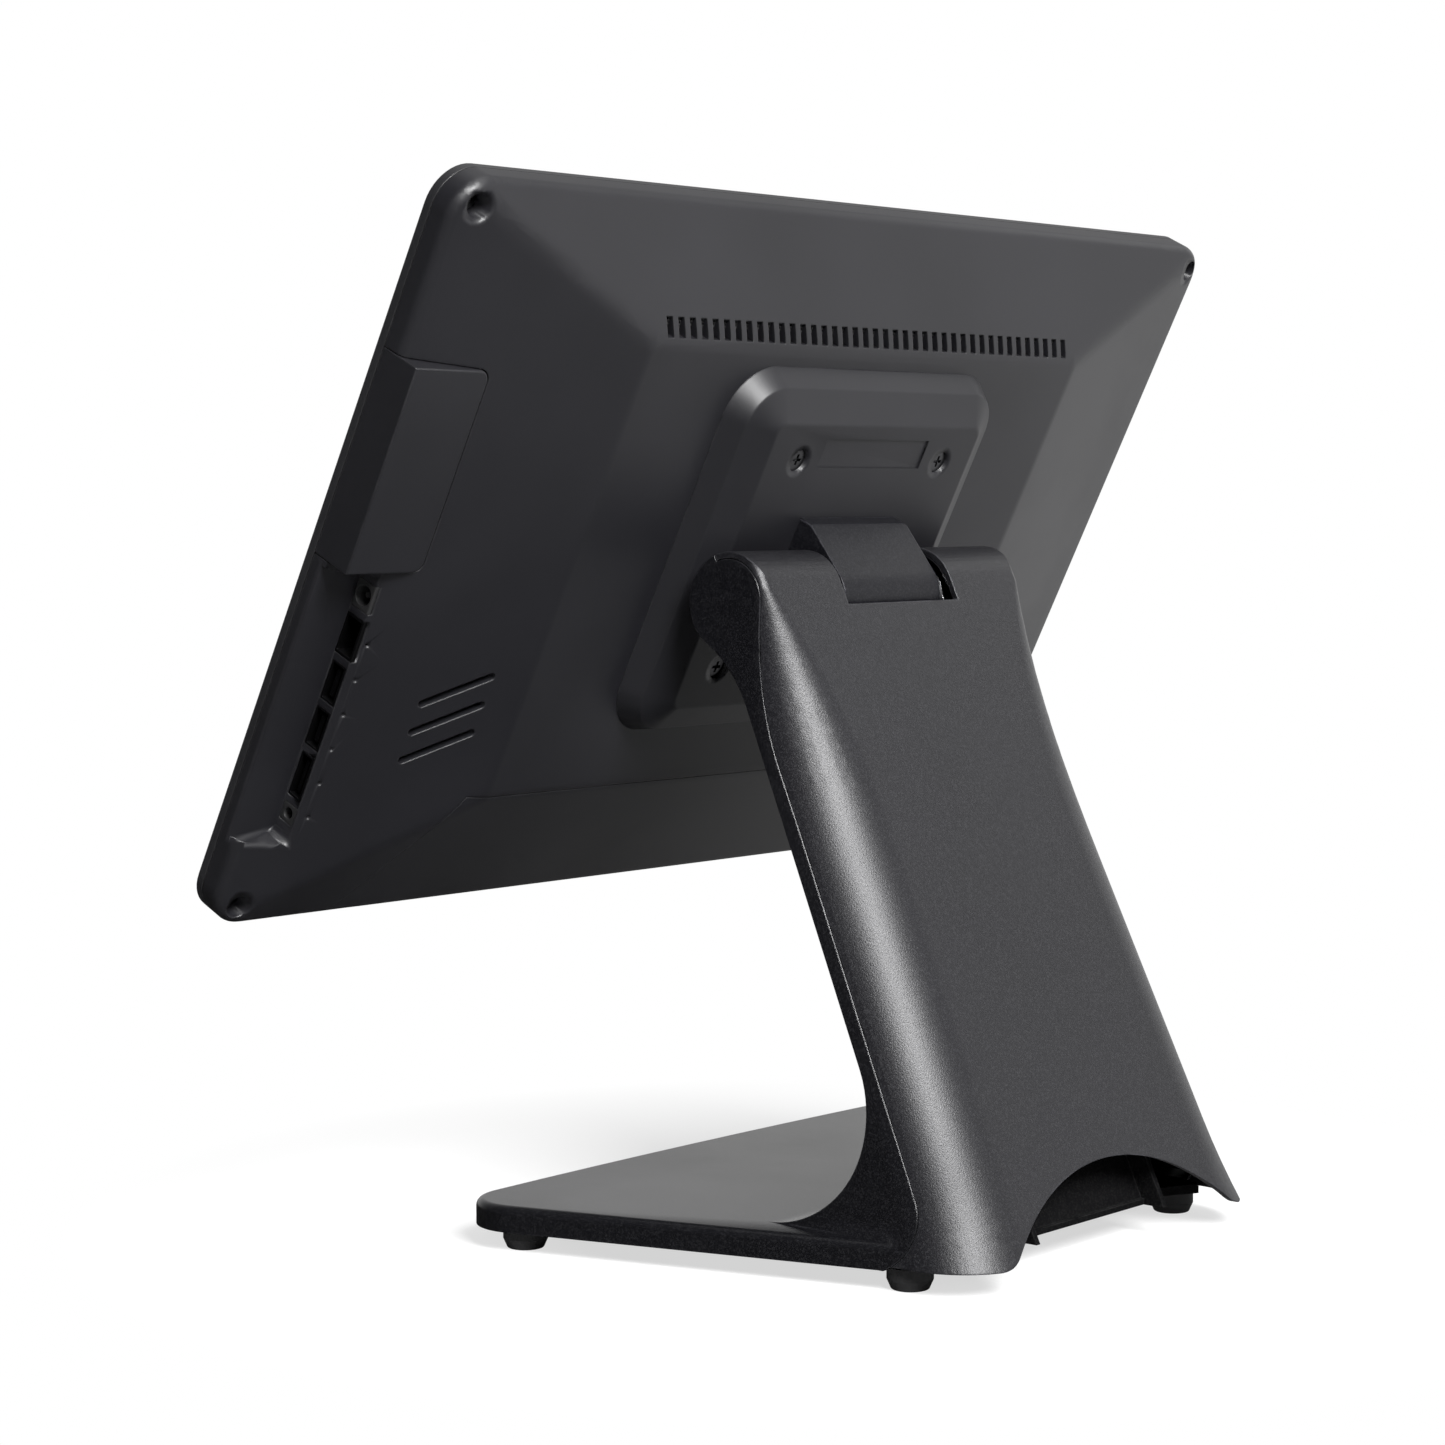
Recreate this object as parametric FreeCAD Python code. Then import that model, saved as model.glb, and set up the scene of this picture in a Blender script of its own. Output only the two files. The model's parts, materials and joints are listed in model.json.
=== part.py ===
"""Countertop touchscreen terminal: a tilting 15.6 inch head on a leaning painted stand.

Row frame: +Z up, the screen faces -Y, the floor under the rubber feet is z = 0, and x = 0 is
the middle of the stand. The head is drawn upright about its hinge axis and tilted back at the
end, so every head size below reads as it would on a bench: x across, z up the screen, and
"depth" counted from the cover plate's rear face towards the glass. Millimetres and degrees.
"""
import FreeCAD
import Part
import os
from math import acos, atan2, cos, degrees, radians, sin, sqrt, tan

V = FreeCAD.Vector
X_AXIS = V(1, 0, 0)
Y_AXIS = V(0, 1, 0)
Z_AXIS = V(0, 0, 1)

# --- Shared clearances and stock ----------------------------------------------------------
wall = 2.5               # moulded wall of every housing
seam_gap = 0.3           # visible line between two housings
run_gap = 0.05           # radial clearance of the hinge shafts in their bores
fit_gap = 0.1            # loose fit of a screw, pad or port in its hole
sheet = 2.0              # steel sheet of frames and brackets

# --- Hinge --------------------------------------------------------------------------------
hinge_y = 2.6            # hinge axis, behind the middle of the whole object
hinge_z = 205.8          # hinge axis above the floor
rest_tilt = 26.6         # screen lean from upright as stored
barrel_r = 15.5          # painted barrel round the hinge
shaft_r = 4.0
shaft_reach = 45.0       # outer end of each shaft from the middle
ear_r = 9.5              # rounded end of every hinge ear
head_ear_x = 16.0        # inner face of the head's ears
stand_ear_x = 31.5       # inner face of the stand's ears
ear_t = 3.0
friction_washer_r = 8.0
friction_washer_t = 1.2
hinge_nut_flats = 13.0
hinge_nut_t = 6.0

# --- Head: outline and section ------------------------------------------------------------
hinge_to_plate = 16.3    # hinge axis to the cover plate's rear face
mount_z = 3.3            # centre of the mounting screws above the hinge axis
head_half_w = 194.3
head_up = 110.7          # top edge above the mounting centre
head_down = 137.8        # bottom edge below the mounting centre
head_corner_r = 13.0
plate_depth = 12.0       # thickness of the raised cover plate
skirt_depth = 30.6       # where the slopes meet the side wall
bezel_depth = 38.3       # seam between rear cover and front bezel
front_depth = 42.0       # front of the glass
plateau_half_w = head_half_w - 82.3
plateau_up = head_up - 39.7
plateau_down = 87.0
ridge_r = 16.0           # soft rounding where the slopes meet the plateau
shoulder_r = 4.0

# --- Head: details ------------------------------------------------------------------------
vent_count = 40
vent_half_w = plateau_half_w - 5.2
vent_low = plateau_up + 1.2
vent_high = plateau_up + 7.1
vent_w = 3.0
vent_slant = 1.0         # sideways lean of each vent from foot to top
speaker_count = 3
speaker_x = head_half_w - 57.5   # middle of each sound slot
speaker_z = -50.3        # middle of the top slot, from the mounting centre
speaker_pitch = 9.95
speaker_len = 26.4
speaker_w = 2.7
speaker_lean = 27.5
door_low_half_w = head_half_w - 49.3
door_top_half_w = door_low_half_w - 25.5
door_top = -87.3
door_edge = 1.5          # door to the bottom edge of the head
side_cover_low = -12.5
side_cover_high = 54.5
side_cover_depth = 23.5  # flat rear of the side cover, proud of the slope around it
side_cover_x = head_half_w - 30.9
side_cover_r = 4.0
side_cover_edge_r = 0.6
recess_low = -107.0
recess_high = -14.5
recess_x = head_half_w - 17.3    # port wall
recess_depth = 34.0
recess_r = 3.0
mark_count = 6
mark_high = -37.6
mark_pitch = 11.95
mark_x = recess_x - 3.8
mark_r = 1.1
mark_sink = 0.5
screw_hole_r = 3.75      # recess over each housing screw
screw_inset_x = 8.3
screw_inset_top = 8.2
screw_inset_low = 7.8
housing_screw_len = 4.4

# --- Head: cover plate --------------------------------------------------------------------
vesa_pitch = 75.0
plate_half_w = 68.0
plate_up = 64.9
plate_down = 66.4
plate_r = 18.0
plate_wall_lean = 4.3    # foot of the plate's wall to its rim, along the screen
plate_bevel_w = 10.2     # rim to the flat, along the screen
plate_bevel_t = 4.9      # depth of the rim below the flat
plate_rim_r = 1.5
plate_flat_r = 3.0
label_half_w = 27.0
label_low = 35.3
label_high = 45.5
label_sink = 0.6
plate_screw_r = 2.0      # M4 shank
plate_head_r = 3.6
plate_head_t = 2.2
plate_screw_len = 14.0
steel_half_w = 52.0
mount_boss_r = 5.0       # bosses of cover and chassis that meet at each mounting screw
mount_boss_end = plate_depth + 8.0

# --- Head: hinge tongue -------------------------------------------------------------------
tongue_half_w = 25.4
tongue_r = 13.2          # concentric part, under the barrel's skin
tongue_t = 1.8
tongue_root_z = 20.6     # top of the root above the hinge axis
tongue_end = -6.0        # lowest end of the concentric part, from level at upright
tongue_shelf = 4.6       # the root stands this far off the plate before it slopes down
tongue_edge_r = 0.8
cheek_t = 1.5            # side walls under the tongue's root
cheek_clear_r = 7.0      # cheeks stay this far from the hinge axis

# --- Head: inside ---------------------------------------------------------------------------
glass_t = 1.9
glass_rim = 2.2
panel_w = 2 * (head_half_w - 18.95)
panel_h = 205.3
panel_t = 3.2
panel_air = 0.3
chassis_t = 1.2
chassis_margin = 5.0     # display module past the chassis on each side
glass_ledge = 16.0       # outer edge of the bezel to its opening
board_w = 170.0
board_h = 120.0
board_t = 1.6
board_z = 8.0            # board centre from the mounting centre
standoff_r = 3.0
standoff_len = 3.0
sink_w = 30.0
sink_h = 24.0
sink_fin_t = 1.2
sink_fin_pitch = 4.0
sink_base_t = 2.0
sink_x = (sink_w - board_w) / 2
sink_z = 40.0
speaker_box_w = 34.0
speaker_box_h = 30.0
speaker_box_t = 7.0
button_x = head_half_w - 34.3
button_w = 11.0
button_t = 4.4
button_proud = 0.9
button_travel = 0.8
button_depth = 35.4
button_stop = 1.5        # collar past the cap on each side
button_len = 5.5

# --- Ports: each size is (along the recess, across it) ---------------------------------------
port_gap = 2.6
port_body_len = 13.0
port_wall = 0.7
port_board_reach = 18.0  # port board over the chassis
port_rise = 30.4         # depth of every port's centre line
power_size = (9.0, 7.8)
power_r = 3.2
power_pin_r = 0.9
lan_size = (13.6, 7.8)
lan_hole = (11.7, 6.4)
usb_size = (13.1, 6.4)
usb_hole = (11.9, 5.0)
usb_tongue_t = 1.6
video_size = (15.0, 5.6)
video_hole = (13.6, 4.3)
audio_size = (6.0, 6.0)
audio_r = 1.8

# --- Stand column ---------------------------------------------------------------------------
lean = 24.6              # column lean from upright
column_low_half_w = 79.0
column_flare = 3.2       # extra half width where the column meets the floor
column_flare_z = 34.0
column_top_half_w = 68.6
column_low_z = 8.0       # bottom edge of the rear shell
column_corner_r = 25.5
barrel_corner_r = 3.5
corner_start_z = 118.0   # the big corners shrink from here ...
corner_end_z = 210.0     # ... to the barrel's corners here
corner_ease = 2.5        # how late the corners shrink
column_depth = 22.8      # level thickness from rear plane to front face
front_blend_r = 46.0     # hollow between barrel and front face
foot_blend_r = 35.5      # hollow between front face and foot
shell_t = 2.0            # painted rear shell where it wraps the barrel
flange = 17.6            # level width of the rear shell's sides
flange_blend_r = 110.0
flange_foot_r = 15.0
flange_foot_z = 27.0
barrel_front = 112.0     # the shell ends on the barrel this far round from level rear
notch_half_w = 29.5
notch_low_z = 204.3
arch_half_w = 62.0
arch_rise = 23.5
arch_soft_r = 14.0

# --- Foot -----------------------------------------------------------------------------------
foot_z = 6.5             # underside above the floor
foot_top_z = 14.8
foot_front_y = -72.5
foot_front_bow = 3.0
foot_wide_y = -49.3
foot_wide_half_w = 117.0
foot_side_y = 78.0       # the foot's sides run into the column here
foot_side_half_w = 81.0
foot_rear_y = 90.0
foot_rear_half_w = 75.5
foot_corner_r = 18.0
foot_edge_r = 2.6
foot_wall = 1.8
foot_bay_y = 71.0        # middle of the hollow rear edge
base_t = 3.0
weight_t = 2.8
pad_r = 7.2
pad_front = (106.5, -49.3)
pad_rear = (72.5, 78.2)
pad_stem_r = 2.0
pad_low_r = 5.8
spine_lip = 9.0
spine_top = 15.5         # spine's upper end below the hinge axis, along the lean
spine_foot = 34.0
ear_tail = 44.0          # stand ears' length along the spine
ear_screw_pitch = 12.0
ear_screw_end = 7.0      # lower screw to the ear's end
base_screw_r = 1.5
base_screw_len = 4.2
base_post_r = 3.6
base_screw_places = ((92.0, -58.0), (30.0, -62.0), (98.0, -10.0), (82.0, 40.0), (30.0, 30.0))
weight_inset = 9.0
weight_rear_y = 22.0
bracket_screw_r = 1.5
spine_window_low = 150.0
spine_window_high = 80.0
base_screw_head_r = 3.0
base_screw_head_t = 1.6


# --- Small helpers --------------------------------------------------------------------------
def box(x_pair, y_pair, z_pair):
    """Axis-aligned block between two values on each axis."""
    low = V(min(x_pair), min(y_pair), min(z_pair))
    size = V(max(x_pair), max(y_pair), max(z_pair)) - low
    return Part.makeBox(size.x, size.y, size.z, low)


def centred(x, y_pair, z, width, height):
    """Block centred on x and z, between two values of y."""
    return box((x - width / 2, x + width / 2), y_pair, (z - height / 2, z + height / 2))


def rod(radius, length, base, axis):
    """Round bar from a base point along an axis."""
    return Part.makeCylinder(radius, length, base, axis)


def join(shapes):
    """One shape from several that touch or overlap."""
    return shapes[0].fuse(shapes[1:]) if len(shapes) > 1 else shapes[0]


def group(shapes):
    """Separate solids kept together in one node."""
    solids = [solid for shape in shapes for solid in shape.Solids]
    return Part.makeCompound(solids)


def flipped(shape):
    """Mirror image across the middle plane x = 0."""
    return shape.mirror(V(0, 0, 0), X_AXIS)


def pair(shape):
    """The shape and its mirror image, as a list."""
    return [shape, flipped(shape)]


def arc_edge(centre, radius, start, end, plane):
    """Arc from a start to an end angle in degrees; plane maps (u, v) to a point."""
    points = []
    for angle in (start, (start + end) / 2, end):
        turn = radians(angle)
        points.append(plane(centre[0] + radius * cos(turn), centre[1] + radius * sin(turn)))
    return Part.Arc(*points).toShape()


def line_edge(first, last):
    """Straight edge between two points."""
    return Part.LineSegment(first, last).toShape()


def rounded_wire(u_pair, v_pair, radius, plane):
    """Closed rounded rectangle; plane maps (u, v) to a point."""
    u0, u1 = u_pair
    v0, v1 = v_pair
    centres = [(u1 - radius, v1 - radius), (u0 + radius, v1 - radius),
               (u0 + radius, v0 + radius), (u1 - radius, v0 + radius)]
    arcs = [arc_edge(c, radius, 90 * i, 90 * i + 90, plane) for i, c in enumerate(centres)]
    edges = []
    for i, arc in enumerate(arcs):
        following = arcs[(i + 1) % 4]
        edges.append(arc)
        edges.append(line_edge(arc.Vertexes[-1].Point, following.Vertexes[0].Point))
    return Part.Wire(edges)


def polygon(points):
    """Closed face through points."""
    return Part.Face(Part.makePolygon(points + [points[0]]))


def across(face_or_wire, half):
    """Profile in the plane x = 0 pushed out to both sides."""
    face = face_or_wire if face_or_wire.ShapeType == "Face" else Part.Face(face_or_wire)
    face.translate(V(-half, 0, 0))
    return face.extrude(V(2 * half, 0, 0))


def prism(points, half):
    """Prism across x from points given as (y, z)."""
    return across(polygon([V(0, y, z) for y, z in points]), half)


# --- Head frame -----------------------------------------------------------------------------
face_y = -hinge_to_plate
head_low_z = mount_z - head_down
head_high_z = mount_z + head_up
big = 400.0


def at_depth(depth):
    """Head y of a depth in front of the cover plate's rear face."""
    return face_y - depth


def up(z):
    """Head z of a height above the mounting centre."""
    return mount_z + z


def head_plane(depth):
    """Mapping from (x, z) on a plane parallel to the screen."""
    return lambda u, v: V(u, at_depth(depth), v)


def tilted(shape):
    """Head piece turned from upright to its stored tilt and moved to the hinge."""
    placed = shape.copy()
    turn = FreeCAD.Rotation(V(-1, 0, 0), rest_tilt)
    placed.Placement = FreeCAD.Placement(V(0, hinge_y, hinge_z), turn).multiply(shape.Placement)
    return placed


def head_wire(depth, inset):
    """Outline of the head at a depth, moved inwards by an inset."""
    corner = max(head_corner_r - inset, 1.0)
    return rounded_wire((-head_half_w + inset, head_half_w - inset),
                        (head_low_z + inset, head_high_z - inset), corner, head_plane(depth))


def sharp_wire(depth, x, low, high):
    """Plain rectangle on a plane parallel to the screen."""
    y = at_depth(depth)
    return Part.makePolygon([V(x, y, high), V(-x, y, high), V(-x, y, low), V(x, y, low),
                             V(x, y, high)])


def pyramid(inset):
    """Flat-topped slopes of the rear, still with sharp outer corners."""
    skirt = (skirt_depth + inset, head_half_w - inset, head_low_z + inset, head_high_z - inset)
    share = inset * 0.4
    flat = (plate_depth + inset, plateau_half_w - share, up(-plateau_down) + share,
            up(plateau_up) - share)
    front = (bezel_depth + (1.0 if inset else 0.0),) + skirt[1:]
    slopes = Part.makeLoft([sharp_wire(*skirt), sharp_wire(*flat)], True, True)
    block = Part.makeLoft([sharp_wire(*front), sharp_wire(*skirt)], True, True)
    return slopes, block


def cover_form(inset):
    """Rear cover as a filled body, with every wall moved inwards by an inset."""
    slopes, block = pyramid(inset)
    if inset == 0.0:
        level = at_depth(skirt_depth)
        ridges = [e for e in slopes.Edges if e.BoundBox.YMax > level + 1.0]
        slopes = slopes.makeFillet(ridge_r, ridges)
    front = bezel_depth + 2.0
    outline = Part.Face(head_wire(front, inset)).extrude(V(0, front, 0))
    return slopes.fuse(block).removeSplitter().common(outline)


def edges_at_depth(shape, depth):
    """Edges that lie in the plane of one depth."""
    level = at_depth(depth)
    return [e for e in shape.Edges
            if abs(e.BoundBox.YMin - level) < 0.01 and abs(e.BoundBox.YMax - level) < 0.01]


def soft_cover_form():
    """Rear cover's outside with its rounded shoulder."""
    form = cover_form(0.0)
    rim = []
    for edge in form.Edges:
        middle = edge.valueAt((edge.FirstParameter + edge.LastParameter) / 2)
        depth = face_y - middle.y
        if skirt_depth - 4.0 < depth < skirt_depth + 0.5 and on_outline(middle):
            rim.append(edge)
    return form.makeFillet(shoulder_r, rim)


def on_outline(point):
    """True where a point lies on the head's outer wall."""
    in_x = head_half_w - abs(point.x)
    in_z = min(head_high_z - point.z, point.z - head_low_z)
    if in_x < head_corner_r and in_z < head_corner_r:
        out = sqrt((head_corner_r - in_x) ** 2 + (head_corner_r - in_z) ** 2)
        return abs(out - head_corner_r) < 0.05
    return min(in_x, in_z) < 0.05


def slope_at(x):
    """Depth of the side slope's surface at a distance from the middle."""
    run = head_half_w - plateau_half_w
    return plate_depth + (x - plateau_half_w) / run * (skirt_depth - plate_depth)


def door_prism(gap):
    """Space of the lower door through the cover, shrunk by a gap."""
    low = head_low_z + door_edge
    top = up(door_top)
    grow = (door_low_half_w - door_top_half_w) / (top - low)
    points = [(door_top_half_w - gap, top - gap), (-door_top_half_w + gap, top - gap),
              (-door_low_half_w + gap - grow, low + gap), (door_low_half_w - gap + grow, low + gap)]
    y_rear = at_depth(plate_depth - wall)
    face = polygon([V(x, y_rear, z) for x, z in points])
    return face.extrude(V(0, at_depth(skirt_depth + wall) - y_rear, 0))


def side_prism(gap, reach=10.0):
    """Space of the side cover up to a reach past the side wall, shrunk by a gap."""
    block = box((side_cover_x + gap, head_half_w + reach),
                (at_depth(bezel_depth), at_depth(side_cover_depth)),
                (up(side_cover_low) + gap, up(side_cover_high) - gap))
    inner = [e for e in block.Edges
             if e.BoundBox.XMax < side_cover_x + gap + 0.01 and e.BoundBox.YLength > 1.0]
    return block.makeFillet(side_cover_r, inner)


def slot_cut(x, z, width, length, turn):
    """Round-ended slot through the cover, its long side turned from level."""
    reach = (length - width) / 2
    deep = (at_depth(skirt_depth), at_depth(0.0))
    middle = box((-reach, reach), deep, (-width / 2, width / 2))
    ends = [rod(width / 2, deep[1] - deep[0], V(s * reach, deep[0], 0), Y_AXIS) for s in (-1, 1)]
    slot = join([middle] + ends)
    slot.rotate(V(0, 0, 0), V(0, -1, 0), turn)
    slot.translate(V(x, 0, z))
    return slot


def vent_cuts():
    """Row of short slanted vents along the top of the plateau."""
    pitch = 2 * vent_half_w / vent_count
    deep = (at_depth(skirt_depth), at_depth(0.0))
    cuts = []
    for i in range(vent_count):
        x = -vent_half_w + pitch * (i + 0.5)
        low, high, half = up(vent_low), up(vent_high), vent_w / 2
        face = polygon([V(x - half, deep[0], low), V(x + half, deep[0], low),
                        V(x + half + vent_slant, deep[0], high),
                        V(x - half + vent_slant, deep[0], high)])
        cuts.append(face.extrude(V(0, deep[1] - deep[0], 0)))
    return cuts


def speaker_cuts():
    """Three leaning sound slots on each side."""
    cuts = []
    for i in range(speaker_count):
        z = up(speaker_z) - i * speaker_pitch
        cut = slot_cut(speaker_x, z, speaker_w, speaker_len, 180 - speaker_lean)
        cuts += pair(cut)
    return cuts


def housing_screw_spots():
    """Centres of the four housing screws as (x, z)."""
    x = head_half_w - screw_inset_x
    return [(s * x, z) for s in (-1, 1)
            for z in (head_high_z - screw_inset_top, head_low_z + screw_inset_low)]


def recess_cut():
    """Port recess in the shoulder on the +X side."""
    cut = box((recess_x, head_half_w + 5.0), (at_depth(recess_depth), at_depth(0.0)),
              (up(recess_low), up(recess_high)))
    inner = [e for e in cut.Edges
             if abs(e.Length - recess_depth) < 1e-6 and e.BoundBox.XMax < recess_x + 1.0]
    return cut.makeFillet(recess_r, inner)


def mark_cuts():
    """Small bare dimples beside the ports."""
    cuts = []
    for i in range(mark_count):
        z = up(mark_high) - i * mark_pitch
        cuts.append(Part.makeSphere(mark_r, V(mark_x, at_depth(slope_at(mark_x)) + mark_sink, z)))
    return cuts


def make_rear_cover():
    """Rear cover: hollow, vented, with its doors and recesses cut out."""
    outer = soft_cover_form()
    hollow = cover_form(wall)
    shell = outer.cut(hollow)
    recess_tray = box((recess_x - wall, head_half_w), (at_depth(recess_depth + sheet), at_depth(0.0)),
                      (up(recess_low) - wall, up(side_cover_low) - seam_gap)).common(outer)
    bosses = [rod(screw_hole_r + wall, bezel_depth, V(x, at_depth(bezel_depth), z), Y_AXIS)
              .common(outer) for x, z in housing_screw_spots()]
    mount_bosses = [rod(mount_boss_r, mount_boss_end, V(x, at_depth(mount_boss_end), z), Y_AXIS)
                    .common(outer) for x, z in mount_spots()]
    shell = join([shell, recess_tray] + bosses + mount_bosses)
    cuts = vent_cuts() + speaker_cuts() + mark_cuts() + [recess_cut()]
    cuts += [door_prism(0.0), side_prism(0.0)]
    cuts += port_holes() + [button_hole()]
    for x, z in housing_screw_spots():
        cuts.append(rod(screw_hole_r, big, V(x, at_depth(bezel_depth - 3.0), z), Y_AXIS))
        cuts.append(rod(base_screw_r + fit_gap, big, V(x, at_depth(bezel_depth + 1.0), z), Y_AXIS))
    for x, z in mount_spots():
        cuts.append(rod(plate_screw_r + fit_gap, big, V(x, at_depth(mount_boss_end + 1.0), z), Y_AXIS))
    return shell.cut(cuts)


def make_bottom_cover():
    """Lower door over the cable bay, set flush in the rear cover."""
    skin = soft_cover_form().cut(cover_form(wall))
    return skin.common(door_prism(seam_gap))


def make_side_cover():
    """Blank cover over the card reader bay: a flat-backed block round the +X side."""
    block = side_prism(seam_gap, 0.0)
    rear = at_depth(side_cover_depth)
    rim = [e for e in block.Edges if e.BoundBox.YMin > rear - 0.01]
    block = block.makeFillet(side_cover_edge_r, rim)
    x_pair = (0.0, head_half_w - wall)
    hollow = box(x_pair, (at_depth(front_depth), rear - wall),
                 (up(side_cover_low) + seam_gap + wall, up(side_cover_high) - seam_gap - wall))
    panel_room = box(x_pair, (at_depth(front_depth), at_depth(chassis_rear) + 1.0),
                     (up(side_cover_low), up(side_cover_high)))
    return block.cut([hollow, panel_room])


def make_front_bezel():
    """Thin front frame that carries the glass."""
    outer = Part.Face(head_wire(bezel_depth + seam_gap, 0.0)).extrude(
        V(0, -(front_depth - bezel_depth - seam_gap), 0))
    outer = outer.makeFillet(1.0, edges_at_depth(outer, front_depth))
    glass_pocket = Part.Face(head_wire(front_depth - glass_t - fit_gap, glass_rim - fit_gap)).extrude(
        V(0, -big, 0))
    inner = Part.Face(head_wire(0.0, glass_ledge)).extrude(V(0, -big, 0))
    frame = outer.cut([glass_pocket, inner])
    lip_front = bezel_depth + seam_gap
    lip = Part.Face(head_wire(lip_front - 4.0, wall + fit_gap)).extrude(V(0, -4.0, 0))
    lip_hole = Part.Face(head_wire(0.0, 2 * wall + fit_gap)).extrude(V(0, -big, 0))
    lip = lip.cut([lip_hole] + bezel_clear())
    threads = [rod(base_screw_r, big, V(x, at_depth(front_depth - 1.2), z), Y_AXIS)
               for x, z in housing_screw_spots()]
    return join([frame, lip]).cut(threads)


def bezel_clear():
    """Room in the bezel's lip for the screw bosses, port recess and button."""
    clear = [rod(screw_hole_r + wall + seam_gap, big, V(x, at_depth(bezel_depth), z), Y_AXIS)
             for x, z in housing_screw_spots()]
    clear.append(box((recess_x - 2 * wall, big), (at_depth(bezel_depth), 0.0),
                     (up(recess_low) - 2 * wall, up(recess_high) + 2 * wall)))
    clear.append(box((side_cover_x, big), (at_depth(bezel_depth), 0.0),
                     (up(side_cover_low) - seam_gap, up(side_cover_high) + seam_gap)))
    clear.append(centred(-button_x, (at_depth(bezel_depth), 0.0), head_low_z,
                         button_w + 4 * wall, 8 * wall))
    return clear


def make_touch_glass():
    """Front glass, flush with the bezel."""
    wire = head_wire(front_depth - glass_t, glass_rim)
    return Part.Face(wire).extrude(V(0, -glass_t, 0))


panel_front = front_depth - glass_t - panel_air
panel_rear = panel_front - panel_t
panel_mid_z = (head_low_z + head_high_z) / 2


def make_lcd_panel():
    """Display module behind the glass."""
    return centred(0, (at_depth(panel_rear), at_depth(panel_front)), panel_mid_z, panel_w, panel_h)


def make_panel_gasket():
    """Foam frame between the glass and the display module."""
    y_pair = (at_depth(panel_front), at_depth(front_depth - glass_t))
    outer = centred(0, y_pair, panel_mid_z, panel_w, panel_h)
    inner = centred(0, y_pair, panel_mid_z, panel_w - 12.0, panel_h - 12.0)
    return outer.cut(inner)


chassis_front = panel_rear
chassis_rear = chassis_front - chassis_t
chassis_half_w = panel_w / 2 - chassis_margin
chassis_low_z = panel_mid_z - panel_h / 2 + chassis_margin


def make_chassis():
    """Steel pan that carries the display module, board and mounting bosses."""
    pan = centred(0, (at_depth(chassis_rear), at_depth(chassis_front)), panel_mid_z,
                  2 * chassis_half_w, panel_h - 2 * chassis_margin)
    legs = [rod(mount_boss_r, chassis_rear - mount_boss_end, V(x, at_depth(chassis_rear), z), Y_AXIS)
            for x, z in mount_spots()]
    holes = [rod(plate_screw_r, 30.0, V(x, at_depth(chassis_front + 1.0), z), Y_AXIS)
             for x, z in mount_spots()]
    return join([pan] + legs).cut(holes)


def mount_spots():
    """Centres of the four mounting screws as (x, z)."""
    half = vesa_pitch / 2
    return [(sx * half, up(sz * half)) for sx in (-1, 1) for sz in (-1, 1)]


board_front = chassis_rear - standoff_len
board_rear = board_front - board_t


def board_spots():
    """Centres of the board's standoffs as (x, z)."""
    x, z = board_w / 2 - 6.0, board_h / 2 - 6.0
    return [(sx * x, up(board_z) + sz * z) for sx in (-1, 1) for sz in (-1, 1)]


def make_standoffs():
    """Four spacers between chassis and board."""
    return group([rod(standoff_r, standoff_len, V(x, at_depth(chassis_rear), z), Y_AXIS)
                  for x, z in board_spots()])


def make_mainboard():
    """Main circuit board with holes for the mounting legs."""
    board = centred(0, (at_depth(board_front), at_depth(board_rear)), up(board_z), board_w, board_h)
    holes = [rod(mount_boss_r + 1.0, big, V(x, at_depth(front_depth), z), Y_AXIS)
             for x, z in mount_spots()]
    return board.cut(holes)


def make_heat_sink():
    """Finned cooler on the board."""
    base = centred(sink_x, (at_depth(board_rear), at_depth(board_rear - sink_base_t)),
                   up(sink_z), sink_w, sink_h)
    top_depth = plate_depth + wall + 1.0
    fins = []
    count = int(sink_w / sink_fin_pitch)
    for i in range(count + 1):
        x = sink_x - sink_w / 2 + sink_fin_t / 2 + i * (sink_w - sink_fin_t) / count
        fins.append(centred(x, (at_depth(board_rear), at_depth(top_depth)),
                            up(sink_z), sink_fin_t, sink_h))
    return join([base] + fins)


def make_speakers():
    """Two speaker boxes behind the sound slots."""
    depth = slope_at(speaker_x + speaker_box_w / 2) + wall + 2 * seam_gap
    z = up(speaker_z) - speaker_pitch
    front = min(depth + speaker_box_t, chassis_rear)
    one = centred(speaker_x, (at_depth(front), at_depth(depth)), z, speaker_box_w, speaker_box_h)
    return group(pair(one))


def make_housing_screws():
    """Four screws that hold the rear cover to the bezel."""
    screws = []
    for x, z in housing_screw_spots():
        seat = at_depth(bezel_depth - 3.0)
        head = rod(base_screw_head_r, base_screw_head_t, V(x, seat, z), Y_AXIS)
        head = head.cut(cross_socket(x, seat + base_screw_head_t, z, base_screw_head_r))
        shank = rod(base_screw_r, housing_screw_len, V(x, seat - housing_screw_len, z), Y_AXIS)
        screws.append(join([head, shank]))
    return group(screws)


def cross_socket(x, y, z, radius):
    """Cross-shaped driver recess in a screw head."""
    arms = [centred(x, (y - 0.9, y + 1.0), z, radius * 1.1, radius * 0.28),
            centred(x, (y - 0.9, y + 1.0), z, radius * 0.28, radius * 1.1)]
    return join(arms)


# --- Ports ----------------------------------------------------------------------------------
def port_rows():
    """Each port's name, middle z and body size, from the top of the recess down."""
    sizes = [("power", power_size), ("lan", lan_size), ("usb", usb_size), ("usb", usb_size),
             ("video", video_size), ("audio", audio_size)]
    z = up(recess_high) - port_gap * 1.5
    rows = []
    for name, size in sizes:
        rows.append((name, z - size[0] / 2, size))
        z -= size[0] + port_gap
    return rows


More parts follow.
